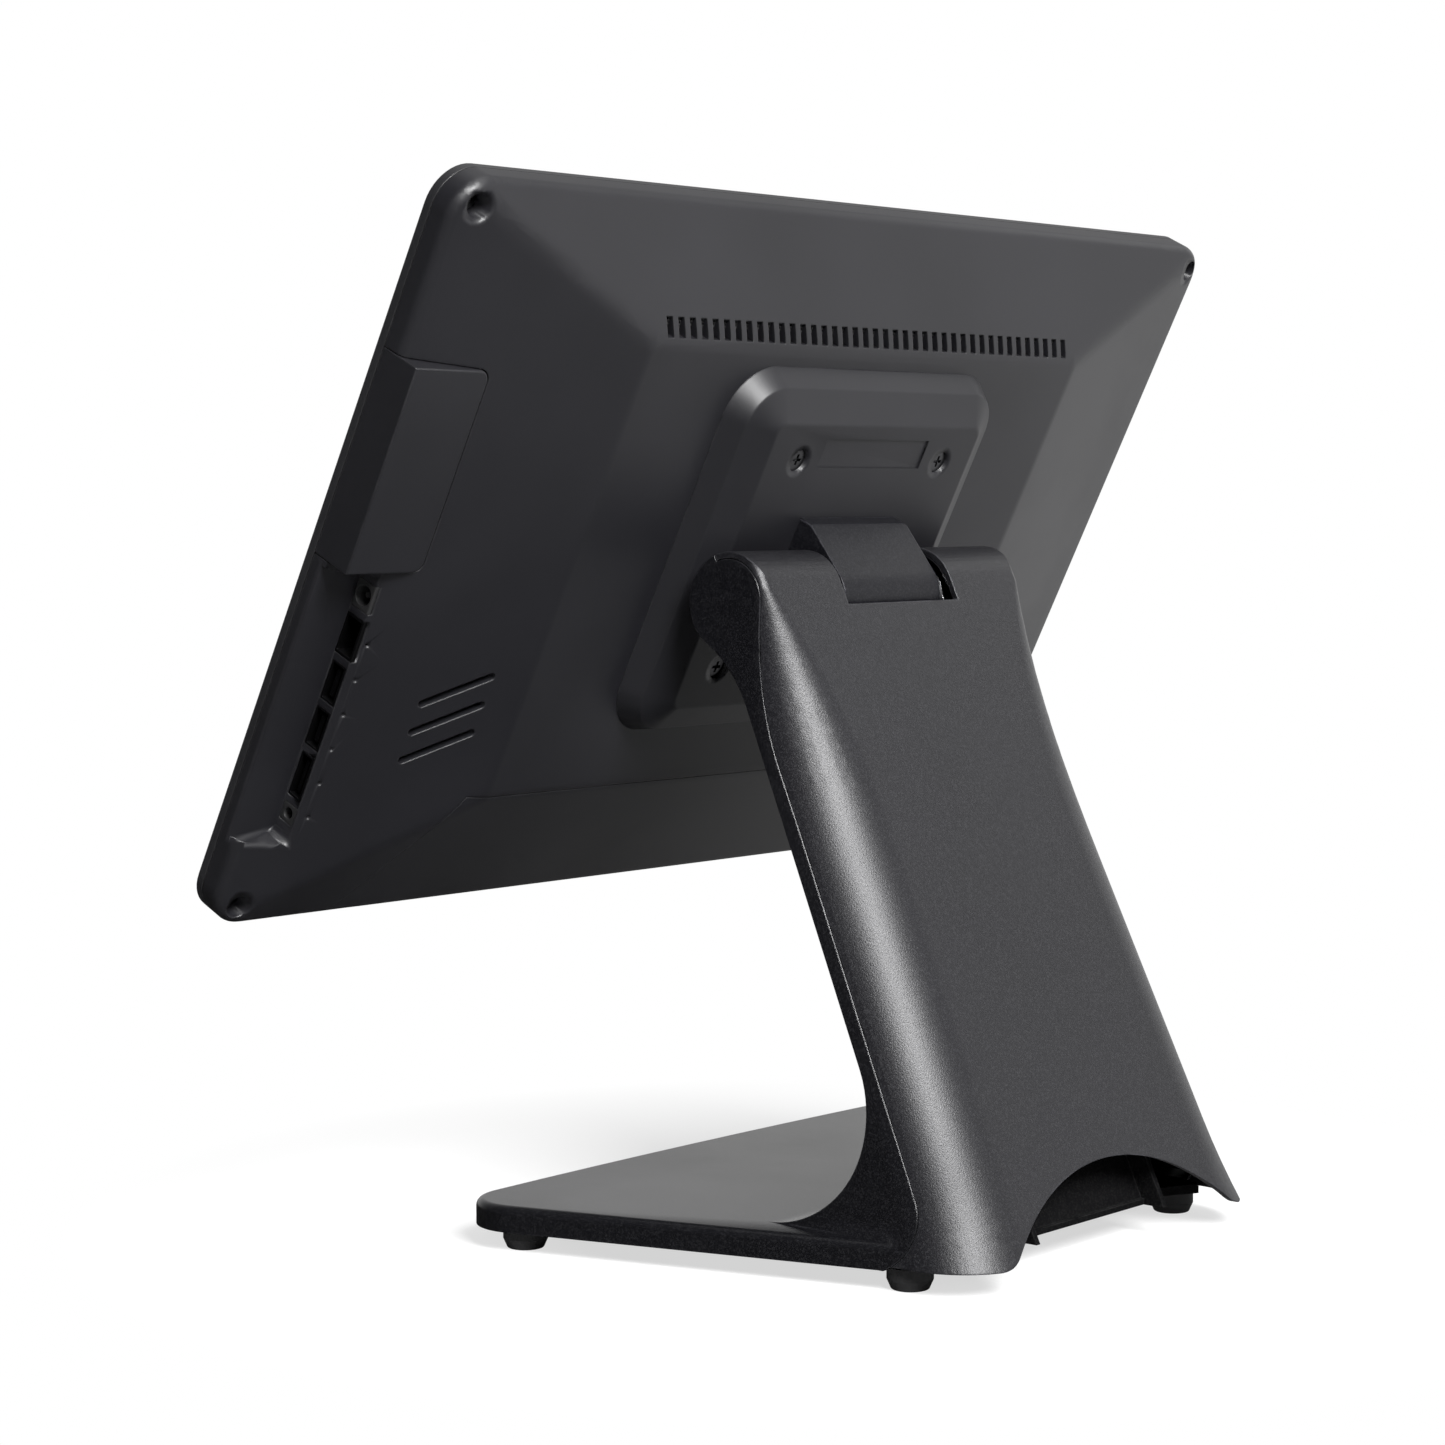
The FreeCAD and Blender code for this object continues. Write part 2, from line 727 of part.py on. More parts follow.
def port_block(z, width, height, grow=0.0):
    """Body of a port behind the recess wall."""
    y = at_depth(port_rise)
    return box((recess_x - port_body_len, recess_x + grow), (y - height / 2 - grow, y + height / 2 + grow),
               (z - width / 2 - grow, z + width / 2 + grow))


def port_holes():
    """Windows for the ports through the recess wall."""
    return [port_block(z, size[0], size[1], fit_gap) for _, z, size in port_rows()]


def slot_port(z, size, hole, tongue_t):
    """Rectangular socket with an inner contact tongue."""
    body = port_block(z, size[0], size[1])
    y = at_depth(port_rise)
    deep = (recess_x - port_body_len + port_wall, recess_x + 1.0)
    mouth = box(deep, (y - hole[1] / 2, y + hole[1] / 2), (z - hole[0] / 2, z + hole[0] / 2))
    shell = body.cut(mouth)
    if tongue_t == 0.0:
        return shell
    tongue = box((deep[0], recess_x - 1.0), (y - tongue_t / 2, y + tongue_t / 2),
                 (z - hole[0] / 2 + 1.5, z + hole[0] / 2 - 1.5))
    return join([shell, tongue])


def round_port(z, size, radius, pin_r):
    """Round socket, with a centre pin if it has one."""
    body = port_block(z, size[0], size[1])
    y = at_depth(port_rise)
    start = V(recess_x - port_body_len + port_wall, y, z)
    body = body.cut(rod(radius, port_body_len, start, X_AXIS))
    if pin_r:
        body = join([body, rod(pin_r, port_body_len - 2.5, start, X_AXIS)])
    return body


def make_ports():
    """Port nodes by name."""
    nodes = {"usb_ports": []}
    for name, z, size in port_rows():
        if name == "power":
            nodes["power_inlet"] = round_port(z, size, power_r, power_pin_r)
        elif name == "lan":
            nodes["lan_port"] = slot_port(z, size, lan_hole, 0.0)
        elif name == "usb":
            nodes["usb_ports"].append(slot_port(z, size, usb_hole, usb_tongue_t))
        elif name == "video":
            nodes["video_port"] = slot_port(z, size, video_hole, 1.2)
        else:
            nodes["audio_jack"] = round_port(z, size, audio_r, 0.0)
    nodes["usb_ports"] = group(nodes["usb_ports"])
    return nodes


def make_port_board():
    """Small board that carries the ports."""
    rows = port_rows()
    high = rows[0][1] + rows[0][2][0] / 2 + 2.0
    low = rows[-1][1] - rows[-1][2][0] / 2 - 2.0
    tallest = max(size[1] for _, _, size in rows)
    y = at_depth(port_rise) - tallest / 2
    y_front = at_depth(chassis_rear)
    board = box((chassis_half_w - port_board_reach, recess_x - wall - seam_gap), (y_front, y), (low, high))
    blocks = []
    for _, z, size in rows:
        gap = (tallest - size[1]) / 2
        if gap > 0.01:
            blocks.append(box((recess_x - port_body_len, recess_x - wall - seam_gap), (y, y + gap),
                              (z - size[0] / 2, z + size[0] / 2)))
    return join([board] + blocks)


# --- Power button ---------------------------------------------------------------------------
def make_power_button():
    """Sprung power button that travels up the screen."""
    y = at_depth(button_depth)
    cap = centred(-button_x, (y - button_t / 2, y + button_t / 2),
                  head_low_z - button_proud + button_len / 2, button_w, button_len)
    low = [e for e in cap.Edges if e.BoundBox.ZMax < head_low_z - button_proud + 0.01]
    cap = cap.makeFillet(0.5, low)
    flange_z = head_low_z + wall + seam_gap
    collar = centred(-button_x, (y - button_t / 2, y + button_t / 2),
                     flange_z + 0.5, button_w + 2 * button_stop, 1.0)
    return join([cap, collar])


def button_hole():
    """Slot for the button through the cover's bottom wall."""
    y = at_depth(button_depth)
    return centred(-button_x, (y - button_t / 2 - seam_gap, y + button_t / 2 + seam_gap),
                   head_low_z, button_w + 2 * seam_gap, 3 * wall)


def make_button_switch():
    """Switch that the button presses."""
    y = at_depth(button_depth)
    low = head_low_z - button_proud + button_len + button_travel + fit_gap
    seat = at_depth(chassis_rear)
    body = centred(-button_x, (y - button_t / 2, seat), low + 2.0, 8.0, 4.0)
    strip = box((-button_x - 6.0, -button_x + 6.0), (seat, seat + 1.0), (low, chassis_low_z + 6.0))
    return join([body, strip])


# --- Cover plate, tongue and head hinge -----------------------------------------------------
def plate_form(inset):
    """Raised cover plate as a filled body."""
    def wire(depth, shrink):
        radius = max(plate_r - shrink, 1.0)
        return rounded_wire((-plate_half_w + shrink, plate_half_w - shrink),
                            (up(-plate_down) + shrink, up(plate_up) - shrink),
                            radius, head_plane(depth))
    rim = plate_wall_lean + inset
    wires = [wire(plate_depth + (1.0 if inset else 0.0), inset), wire(plate_bevel_t + inset * 0.7, rim),
             wire(inset, rim + plate_bevel_w)]
    return Part.makeLoft(wires, True, True)


def make_plate_cover():
    """Raised cover over the steel mounting plate, with a bare label recess."""
    outer = plate_form(0.0)
    outer = outer.makeFillet(plate_rim_r, edges_at_depth(outer, plate_bevel_t))
    outer = outer.makeFillet(plate_flat_r, edges_at_depth(outer, 0.0))
    shell = outer.cut(plate_form(wall))
    pillars = [rod(plate_head_r + wall, plate_depth - sheet - fit_gap,
                   V(x, at_depth(plate_depth - sheet - fit_gap), z), Y_AXIS).common(outer)
               for x, z in mount_spots()]
    shell = join([shell] + pillars)
    label = box((-label_half_w, label_half_w), (face_y - label_sink, face_y + 1.0),
                (up(label_low), up(label_high)))
    arm_slot = box((-tongue_half_w + tongue_t, tongue_half_w - tongue_t), (face_y - 2 * wall, 0.0),
                   (-ear_r - 1.0, tongue_root_z - tongue_t - 1.0))
    cuts = [label, arm_slot]
    for x, z in mount_spots():
        cuts.append(rod(plate_head_r + seam_gap, big, V(x, at_depth(plate_head_t + 1.0), z), Y_AXIS))
        cuts.append(rod(plate_screw_r + fit_gap, big, V(x, at_depth(plate_depth + 1.0), z), Y_AXIS))
    return shell.cut(cuts)


def make_steel_plate():
    """Steel mounting plate against the rear cover."""
    plate = centred(0, (at_depth(plate_depth), at_depth(plate_depth - sheet)), up(0.0),
                    2 * steel_half_w, 2 * steel_half_w)
    corners = [e for e in plate.Edges if abs(e.Length - sheet) < 1e-6]
    plate = plate.makeFillet(8.0, corners)
    holes = [rod(plate_screw_r + fit_gap, 10.0, V(x, at_depth(plate_depth + 2.0), z), Y_AXIS)
             for x, z in mount_spots()]
    return plate.cut(holes)


def make_plate_screws():
    """Four mounting screws through cover, plate and housing."""
    screws = []
    for x, z in mount_spots():
        seat = at_depth(plate_head_t + 1.0)
        head = rod(plate_head_r, plate_head_t, V(x, seat, z), Y_AXIS)
        head = head.cut(cross_socket(x, seat + plate_head_t, z, plate_head_r))
        shank = rod(plate_screw_r, plate_screw_len, V(x, seat - plate_screw_len, z), Y_AXIS)
        screws.append(join([head, shank]))
    return group(screws)


def tongue_touch(radius, inset):
    """Angle in radians where the tongue's slope meets its concentric part."""
    shelf_y = -hinge_to_plate + tongue_shelf - inset
    shelf_z = tongue_root_z - inset
    reach = sqrt(shelf_y ** 2 + shelf_z ** 2)
    return atan2(shelf_z, shelf_y) - acos(radius / reach)


def tongue_outline(inset):
    """Tongue profile from the plate to its lower end, closed round the hinge axis."""
    radius = tongue_r - inset
    touch = tongue_touch(radius, inset)
    start = V(0, -hinge_to_plate, tongue_root_z - inset)
    shelf = start + V(0, tongue_shelf - inset, 0)
    middle = V(0, radius * cos(touch), radius * sin(touch))
    arc = arc_edge((0, 0), radius, degrees(touch), tongue_end, lambda u, v: V(0, u, v))
    turn = radians(tongue_end)
    end = V(0, radius * cos(turn), radius * sin(turn))
    edges = [line_edge(start, shelf), line_edge(shelf, middle), arc,
             line_edge(end, V(0, -hinge_to_plate, 0)), line_edge(V(0, -hinge_to_plate, 0), start)]
    return Part.Wire(Part.__sortEdges__(edges))


def make_hinge_cover():
    """Curved tongue from the cover plate over the hinge, down into the column's notch."""
    outer = across(tongue_outline(0.0), tongue_half_w)
    step = [e for e in outer.Edges
            if e.BoundBox.ZMin > tongue_root_z - 0.01 and e.BoundBox.YMax > face_y + 0.01]
    outer = outer.makeFillet(tongue_edge_r, step)
    skin = outer.cut(across(tongue_outline(tongue_t), tongue_half_w + 1.0))
    turn = radians(tongue_end)
    below = prism([(-big, 0.0), (0.0, 0.0), (big * cos(turn), big * sin(turn)), (0.0, -big),
                   (-big, -big)], 2 * tongue_half_w)
    touch = tongue_touch(tongue_r, 0.0)
    out = V(0, cos(touch), sin(touch))
    low = out * cheek_clear_r
    side = prism([(face_y, tongue_root_z), (face_y + tongue_shelf, tongue_root_z),
                  (out.y * tongue_r, out.z * tongue_r), (low.y, low.z), (face_y, low.z)],
                 tongue_half_w)
    inside = box((cheek_t - tongue_half_w, tongue_half_w - cheek_t), (-big, big), (-big, big))
    cheeks = side.cut(inside).common(outer)
    return join([skin.cut(below), cheeks])


def ear(x_pair, tail, width):
    """Hinge ear: a plate from the axis to a tail point, given as (y, z)."""
    x0, x1 = x_pair
    disc = rod(ear_r, x1 - x0, V(x0, 0, 0), X_AXIS)
    tail_y, tail_z = tail
    reach = sqrt(tail_y ** 2 + tail_z ** 2)
    bar = box((x0, x1), (0.0, reach), (-width / 2, width / 2))
    bar.rotate(V(0, 0, 0), X_AXIS, degrees(atan2(tail_z, tail_y)))
    return join([disc, bar])


def make_head_bracket():
    """Steel bracket on the mounting plate, with two ears at the hinge axis."""
    seat_y = at_depth(plate_depth - sheet)
    ears = []
    for x0 in (head_ear_x, -head_ear_x - ear_t):
        one = ear((x0, x0 + ear_t), (seat_y, 0.0), 2 * ear_r)
        ears.append(one)
    web = box((-head_ear_x - ear_t, head_ear_x + ear_t), (seat_y, seat_y + sheet), (-ear_r, ear_r))
    bore = rod(shaft_r, big, V(-big / 2, 0, 0), X_AXIS)
    return join(ears + [web]).cut(bore)


def make_hinge_shafts():
    """Two shafts, pressed into the head's ears and running in the stand's ears."""
    start = head_ear_x - 1.5
    shaft = rod(shaft_r, shaft_reach - start, V(start, 0, 0), X_AXIS)
    collar_x = head_ear_x + ear_t
    collar_len = stand_ear_x - fit_gap - friction_washer_t - collar_x
    collar = rod(shaft_r + 2.0, collar_len, V(collar_x, 0, 0), X_AXIS)
    return group(pair(join([shaft, collar])))


# --- Stand: column form ---------------------------------------------------------------------
def rear_y(z, inset=0.0):
    """Row y of the column's rear plane at a height."""
    reach = (barrel_r - inset) / cos(radians(lean))
    return hinge_y + reach - (z - hinge_z) * tan(radians(lean))


def front_y(z, inset=0.0):
    """Row y of the column's front face at a height."""
    return rear_y(z) - column_depth + inset / cos(radians(lean))


def column_half_w(z):
    """Half width of the column at a height."""
    share = (z - column_low_z) / (hinge_z - column_low_z)
    low = max((column_flare_z - z) / (column_flare_z - foot_z), 0.0)
    taper = share * (column_top_half_w - column_low_half_w)
    return column_low_half_w + taper + column_flare * low * low


def corner_radius(z):
    """Rear corner radius: large along the column, small at the barrel."""
    share = min(max((z - corner_start_z) / (corner_end_z - corner_start_z), 0.0), 1.0)
    ease = share ** corner_ease
    return column_corner_r + ease * (barrel_corner_r - column_corner_r)


def column_section(z, inset):
    """Level slice of the column: flat rear, round rear corners, open-ended front."""
    half = column_half_w(z) - inset
    radius = max(corner_radius(z) - inset, 1.0)
    rear = rear_y(z, inset)
    front = rear - 90.0

    def flat(u, v):
        return V(u, v, z)
    right = arc_edge((half - radius, rear - radius), radius, 0, 90, flat)
    left = arc_edge((-half + radius, rear - radius), radius, 90, 180, flat)
    edges = [line_edge(V(half, front, z), V(half, rear - radius, z)), right,
             line_edge(V(half - radius, rear, z), V(-half + radius, rear, z)), left,
             line_edge(V(-half, rear - radius, z), V(-half, front, z)),
             line_edge(V(-half, front, z), V(half, front, z))]
    return Part.Wire(edges)


def column_levels():
    """Heights of the column's slices."""
    span = corner_end_z - corner_start_z
    top = hinge_z + barrel_r + 6.0
    levels = [foot_z + (column_flare_z - foot_z) * i / 4 for i in range(5)]
    levels += [corner_start_z + span * i / 9 for i in range(10)]
    return levels + [top]


def column_profile(inset):
    """Side view of the column and its blend into the foot, as a face in the plane x = 0."""
    angle = radians(lean)
    away = V(0, cos(angle), sin(angle))
    axis = V(0, hinge_y, hinge_z)
    radius = barrel_r - inset
    rear_touch = axis + away * radius
    blend = front_blend_r + inset
    # the front face as a line: points P with (P - on_line) along the lean
    down = V(0, sin(angle), -cos(angle))
    on_line = V(0, front_y(hinge_z, inset), hinge_z)
    # hollow between the barrel and the front face
    offset = on_line - away * blend
    to_axis = offset - axis
    along = to_axis.dot(down)
    reach = sqrt(along ** 2 - (to_axis.dot(to_axis) - (blend + radius) ** 2))
    hollow = offset + down * (-along + reach)
    barrel_touch = axis + (hollow - axis) * (radius / (blend + radius))
    line_top = hollow + away * blend
    # hollow between the front face and the foot
    foot_r = foot_blend_r + inset
    floor = foot_top_z - inset
    centre_z = floor + foot_r
    steps = (on_line.z - centre_z - sin(angle) * foot_r) / cos(angle)
    line_low = on_line + down * steps
    foot_centre = line_low - away * foot_r
    foot_touch = V(0, foot_centre.y, floor)

    def plane(u, v):
        return V(0, u, v)
    start = degrees(atan2(rear_touch.z - axis.z, rear_touch.y - axis.y))
    finish = degrees(atan2(barrel_touch.z - axis.z, barrel_touch.y - axis.y)) % 360
    hollow_from = degrees(atan2(barrel_touch.z - hollow.z, barrel_touch.y - hollow.y))
    hollow_to = degrees(atan2(line_top.z - hollow.z, line_top.y - hollow.y))
    foot_from = degrees(atan2(line_low.z - foot_centre.z, line_low.y - foot_centre.y))
    out = 20.0
    bottom = foot_z
    low_rear = V(0, rear_y(bottom) + out, bottom)
    step = rear_touch + away * out
    edges = [line_edge(low_rear, step), line_edge(step, rear_touch),
             arc_edge((axis.y, axis.z), radius, start, finish, plane),
             arc_edge((hollow.y, hollow.z), blend, hollow_from, hollow_to, plane),
             line_edge(line_top, line_low),
             arc_edge((foot_centre.y, foot_centre.z), foot_r, foot_from, -90, plane),
             line_edge(foot_touch, V(0, foot_touch.y, bottom)),
             line_edge(V(0, foot_touch.y, bottom), low_rear)]
    return Part.Face(Part.Wire(Part.__sortEdges__(edges)))


def column_form(inset):
    """Column, barrel and front blend as a filled body, moved inwards by an inset."""
    body = Part.makeLoft([column_section(z, inset) for z in column_levels()], True, True)
    return body.common(across(column_profile(inset), 200.0))


# --- Stand pieces ---------------------------------------------------------------------------
def leaned(shape):
    """Piece drawn upright about the hinge axis, laid along the column."""
    placed = shape.copy()
    turn = FreeCAD.Rotation(X_AXIS, lean)
    placed.Placement = FreeCAD.Placement(V(0, hinge_y, hinge_z), turn).multiply(shape.Placement)
    return placed


def seam_region(gap):
    """Everything behind the seam between rear shell and front body, grown by a gap."""
    angle = radians(lean)
    away = V(0, cos(angle), sin(angle))
    radius = barrel_r - shell_t - gap
    axis = V(0, hinge_y, hinge_z)
    side_y = hinge_y + radius
    drop = (rear_y(hinge_z) - flange - gap - side_y) / tan(angle)
    turn_z = hinge_z + drop + flange_blend_r * tan(angle / 2)
    bend = V(0, side_y + flange_blend_r, turn_z)
    bend_end = bend - away * flange_blend_r
    foot_start = V(0, rear_y(flange_foot_z) - flange - gap, flange_foot_z)
    foot_centre = foot_start - away * flange_foot_r
    exit_angle = -60.0
    exit_dir = V(0, sin(radians(exit_angle)), -cos(radians(exit_angle)))
    foot_end = foot_centre + V(0, cos(radians(exit_angle)), sin(radians(exit_angle))) * flange_foot_r
    low = foot_end + exit_dir * 20.0
    front = radians(barrel_front)
    radial = V(0, cos(front), sin(front))
    far = 60.0

    def plane(u, v):
        return V(0, u, v)
    edges = [line_edge(axis + radial * (barrel_r + far), axis + radial * radius),
             arc_edge((axis.y, axis.z), radius, barrel_front, 0, plane),
             line_edge(V(0, side_y, hinge_z), V(0, side_y, turn_z)),
             arc_edge((bend.y, bend.z), flange_blend_r, 180, 180 + lean, plane),
             line_edge(bend_end, foot_start),
             arc_edge((foot_centre.y, foot_centre.z), flange_foot_r, lean, exit_angle, plane),
             line_edge(foot_end, low),
             line_edge(low, V(0, rear_y(0) + far, low.z)),
             line_edge(V(0, rear_y(0) + far, low.z), V(0, rear_y(0) + far, hinge_z + far)),
             line_edge(V(0, rear_y(0) + far, hinge_z + far), axis + radial * (barrel_r + far))]
    return across(Part.Wire(Part.__sortEdges__(edges)), 150.0)


def notch_cut():
    """Notch in the barrel for the tongue behind and the head's ears in front."""
    top = hinge_z + 2 * barrel_r
    rear = box((-notch_half_w, notch_half_w), (hinge_y, hinge_y + 3 * barrel_r), (notch_low_z, top))
    front_low = hinge_z - barrel_r * 0.8
    front = box((-notch_half_w, notch_half_w), (hinge_y - 3 * barrel_r, hinge_y), (front_low, top))
    return rear.fuse(front)


def arch_cut():
    """Cable arch through the foot of the rear shell, with rounded ends."""
    main_r = (arch_half_w ** 2 + arch_rise ** 2) / (2 * arch_rise)
    base = column_low_z
    centre_z = base + arch_rise - main_r
    soft_z = base + arch_soft_r
    soft_x = sqrt((main_r + arch_soft_r) ** 2 - (soft_z - centre_z) ** 2)
    touch = degrees(atan2(soft_z - centre_z, soft_x))
    front = foot_bay_y + wall

    def plane(u, v):
        return V(u, front, v)
    edges = [arc_edge((0, centre_z), main_r, touch, 180 - touch, plane),
             arc_edge((-soft_x, soft_z), arch_soft_r, touch * -1, -90, plane),
             line_edge(V(-soft_x, front, base), V(-soft_x, front, base - 9.0)),
             line_edge(V(-soft_x, front, base - 9.0), V(soft_x, front, base - 9.0)),
             line_edge(V(soft_x, front, base - 9.0), V(soft_x, front, base)),
             arc_edge((soft_x, soft_z), arch_soft_r, -90, touch - 180, plane)]
    face = Part.Face(Part.Wire(Part.__sortEdges__(edges)))
    return face.extrude(V(0, 80.0, 0))


def make_column_shell():
    """Painted rear shell of the column, from the barrel down to the cable arch."""
    outer = column_form(0.0).common(seam_region(0.0))
    trim = box((-150, 150), (-150, 250), (-10, column_low_z))
    return outer.cut([column_form(shell_t), notch_cut(), arch_cut(), trim])


def foot_outline(inset, z):
    """Foot plate's outline at a height, moved inwards by an inset."""
    slope = (foot_wide_half_w - foot_side_half_w) / (foot_side_y - foot_wide_y)
    front_x = foot_wide_half_w + slope * (foot_wide_y - foot_front_y)
    front_y_in = foot_front_y + inset
    corner = V(front_x - inset - slope * inset, front_y_in + foot_front_bow, z)
    side = V(foot_side_half_w - inset, foot_side_y, z)
    rear = V(foot_rear_half_w - inset, foot_rear_y - inset, z)
    bay = V(0, foot_bay_y - inset, z)
    bow = V(0, front_y_in, z)

    def other(point):
        return V(-point.x, point.y, point.z)
    edges = [Part.Arc(other(corner), bow, corner).toShape(), line_edge(corner, side),
             line_edge(side, rear), Part.Arc(rear, bay, other(rear)).toShape(),
             line_edge(other(rear), other(side)), line_edge(other(side), other(corner))]
    return Part.Wire(edges)


def foot_form(inset, low, high):
    """Foot plate between two heights, with rounded front corners."""
    block = Part.Face(foot_outline(inset, low)).extrude(V(0, 0, high - low))
    corners = [e for e in block.Edges
               if e.BoundBox.YMax < foot_wide_y and e.BoundBox.ZLength > (high - low) * 0.9]
    return block.makeFillet(foot_corner_r - inset, corners)


def make_stand_body():
    """Foot and column front as one moulding, open below and behind."""
    foot = foot_form(0.0, foot_z, foot_top_z)
    rim = [e for e in foot.Edges
           if e.BoundBox.ZMin > foot_top_z - 0.01 and e.BoundBox.YMin < foot_side_y - 1.0
           and e.BoundBox.YMax < foot_side_y + 1.0]
    foot = foot.makeFillet(foot_edge_r, rim)
    column = column_form(0.0)
    body = column.fuse(foot).cut(column.common(seam_region(seam_gap)))
    hollow_foot = foot_form(foot_wall, foot_z - 1.0, foot_top_z - foot_wall)
    body = body.cut([column_form(wall), hollow_foot, notch_cut()])
    posts = [rod(base_post_r, foot_top_z - foot_wall / 2 - base_top_z, V(x, y, base_top_z), Z_AXIS)
             for x, y in base_screw_spots()]
    pilots = [rod(base_screw_r, base_screw_len, V(x, y, base_low_z + base_screw_head_t), Z_AXIS)
              for x, y in base_screw_spots()]
    return join([body] + posts).cut(pilots)


base_low_z = foot_z + 0.5
base_top_z = base_low_z + base_t


def base_screw_spots():
    """Centres of the base screws as (x, y)."""
    return [(s * x, y) for s in (-1, 1) for x, y in base_screw_places]


def pad_spots():
    """Centres of the four rubber feet as (x, y)."""
    return [(s * x, y) for s in (-1, 1) for x, y in (pad_front, pad_rear)]


def make_base_plate():
    """Steel bottom plate that closes the foot."""
    plate = foot_form(foot_wall + fit_gap, base_low_z, base_top_z)
    inside = column_form(shell_t + seam_gap)
    rear = box((-150, 150), (foot_side_y - 10.0, 150), (0, 40))
    plate = plate.cut(rear.cut(inside))
    holes = [rod(pad_stem_r + fit_gap, 20.0, V(x, y, 0), Z_AXIS) for x, y in pad_spots()]
    for x, y in base_screw_spots():
        holes.append(rod(base_screw_r + fit_gap, 20.0, V(x, y, 0), Z_AXIS))
        holes.append(rod(base_screw_head_r + fit_gap, base_screw_head_t, V(x, y, base_low_z), Z_AXIS))
    return plate.cut(holes)


def make_foot_weight():
    """Steel slab on the bottom plate under the screen."""
    slab = foot_form(weight_inset, base_top_z, base_top_z + weight_t)
    slab = slab.cut(box((-150, 150), (weight_rear_y, 150), (0, 40)))
    holes = [rod(base_post_r + fit_gap, 20.0, V(x, y, 0), Z_AXIS) for x, y in base_screw_spots()]
    holes += [rod(pad_stem_r + 3 * fit_gap, 20.0, V(x, y, 0), Z_AXIS) for x, y in pad_spots()]
    return slab.cut(holes)


def make_rubber_feet():
    """Four round rubber feet with stems."""
    feet = []
    for x, y in pad_spots():
        skirt = base_low_z * 0.45
        low = Part.makeCone(pad_low_r, pad_r, skirt, V(x, y, 0), Z_AXIS)
        disc = join([low, rod(pad_r, base_low_z - skirt, V(x, y, skirt), Z_AXIS)])
        floor_edge = [e for e in disc.Edges if e.BoundBox.ZMax < 0.01]
        disc = disc.makeFillet(0.8, floor_edge)
        stem = rod(pad_stem_r, base_low_z + base_t, V(x, y, 0), Z_AXIS)
        feet.append(join([disc, stem]))
    return group(feet)


def make_base_screws():
    """Countersunk screws through the bottom plate."""
    screws = []
    for x, y in base_screw_spots():
        head = rod(base_screw_head_r, base_screw_head_t, V(x, y, base_low_z), Z_AXIS)
        slots = [box((x - 1.8, x + 1.8), (y - 0.4, y + 0.4), (base_low_z - 1.0, base_low_z + 0.8)),
                 box((x - 0.4, x + 0.4), (y - 1.8, y + 1.8), (base_low_z - 1.0, base_low_z + 0.8))]
        shank = rod(base_screw_r, base_screw_len, V(x, y, base_low_z + base_screw_head_t), Z_AXIS)
        screws.append(join([head.cut(slots), shank]))
    return group(screws)


spine_front = column_depth * cos(radians(lean)) - wall - seam_gap
spine_half_w = stand_ear_x + ear_t + fit_gap + sheet


def spine_length():
    """Length of the spine along the lean, from the hinge axis down to the bottom plate."""
    angle = radians(lean)
    front_drop = (barrel_r - spine_front) * sin(angle)
    return (hinge_z + front_drop - base_top_z) / cos(angle)


def make_spine():
    """Folded steel channel that carries the hinge from the bottom plate."""
    y_front = barrel_r - spine_front
    reach = spine_length() + 6.0
    web = box((-spine_half_w, spine_half_w), (y_front, y_front + sheet), (-reach, -spine_top))
    lips = [box((s * spine_half_w, s * (spine_half_w - sheet)), (y_front, y_front + spine_lip),
                (-reach, -spine_top)) for s in (-1, 1)]
    channel = leaned(join([web] + lips))
    channel = channel.common(box((-200, 200), (-200, 300), (base_top_z, 300)))
    foot_y = rear_y(base_top_z) - (spine_front - sheet) / cos(radians(lean))
    flange = box((-spine_half_w, spine_half_w), (foot_y - spine_foot, foot_y),
                 (base_top_z, base_top_z + sheet))
    window = leaned(box((-spine_half_w * 0.5, spine_half_w * 0.5), (y_front - 1, y_front + 2 * sheet),
                        (-spine_window_low, -spine_window_high)))
    return channel.fuse(flange).cut(window)


def make_hinge_brackets():
    """Two steel ears on the spine that hold the hinge shafts."""
    y_front = barrel_r - spine_front + sheet
    ears = []
    x0, x1 = stand_ear_x, stand_ear_x + ear_t
    disc = rod(ear_r, ear_t, V(x0, 0, 0), X_AXIS)
    tail = box((x0, x1), (y_front, y_front + spine_lip), (-ear_tail, 0))
    plate = join([disc, tail]).cut(rod(shaft_r + run_gap, big, V(0, 0, 0), X_AXIS))
    ears = pair(plate)
    holes = [rod(bracket_screw_r, big, V(-big / 2, y, z), X_AXIS) for y, z in bracket_screw_spots()]
    return group([leaned(e.cut(holes)) for e in ears])


def bracket_screw_spots():
    """Bracket screws as (y, z) about the hinge axis, upright."""
    y = barrel_r - spine_front + sheet + spine_lip / 2
    return [(y, ear_screw_end + i * ear_screw_pitch - ear_tail) for i in range(2)]


def make_bracket_screws():
    """Screws that join the ears to the spine's lips."""
    screws = []
    for y, z in bracket_screw_spots():
        inner = rod(bracket_screw_r, ear_t + fit_gap + sheet, V(stand_ear_x, y, z), X_AXIS)
        head = rod(bracket_screw_r * 1.9, 1.6, V(spine_half_w, y, z), X_AXIS)
        screws += pair(join([inner, head]))
    return group([leaned(s) for s in screws])


def spine_holes(spine):
    """Spine with its bracket screw holes."""
    holes = [leaned(rod(bracket_screw_r, big, V(-big / 2, y, z), X_AXIS))
             for y, z in bracket_screw_spots()]
    return spine.cut(holes)


def make_friction_washers():
    """Spring washers on both sides of each stand ear."""
    washers = []
    for x in (stand_ear_x - fit_gap - friction_washer_t, stand_ear_x + ear_t + fit_gap):
        ring = rod(friction_washer_r, friction_washer_t, V(x, 0, 0), X_AXIS)
        washers += pair(ring.cut(rod(shaft_r, big, V(0, 0, 0), X_AXIS)))
    return group(washers)


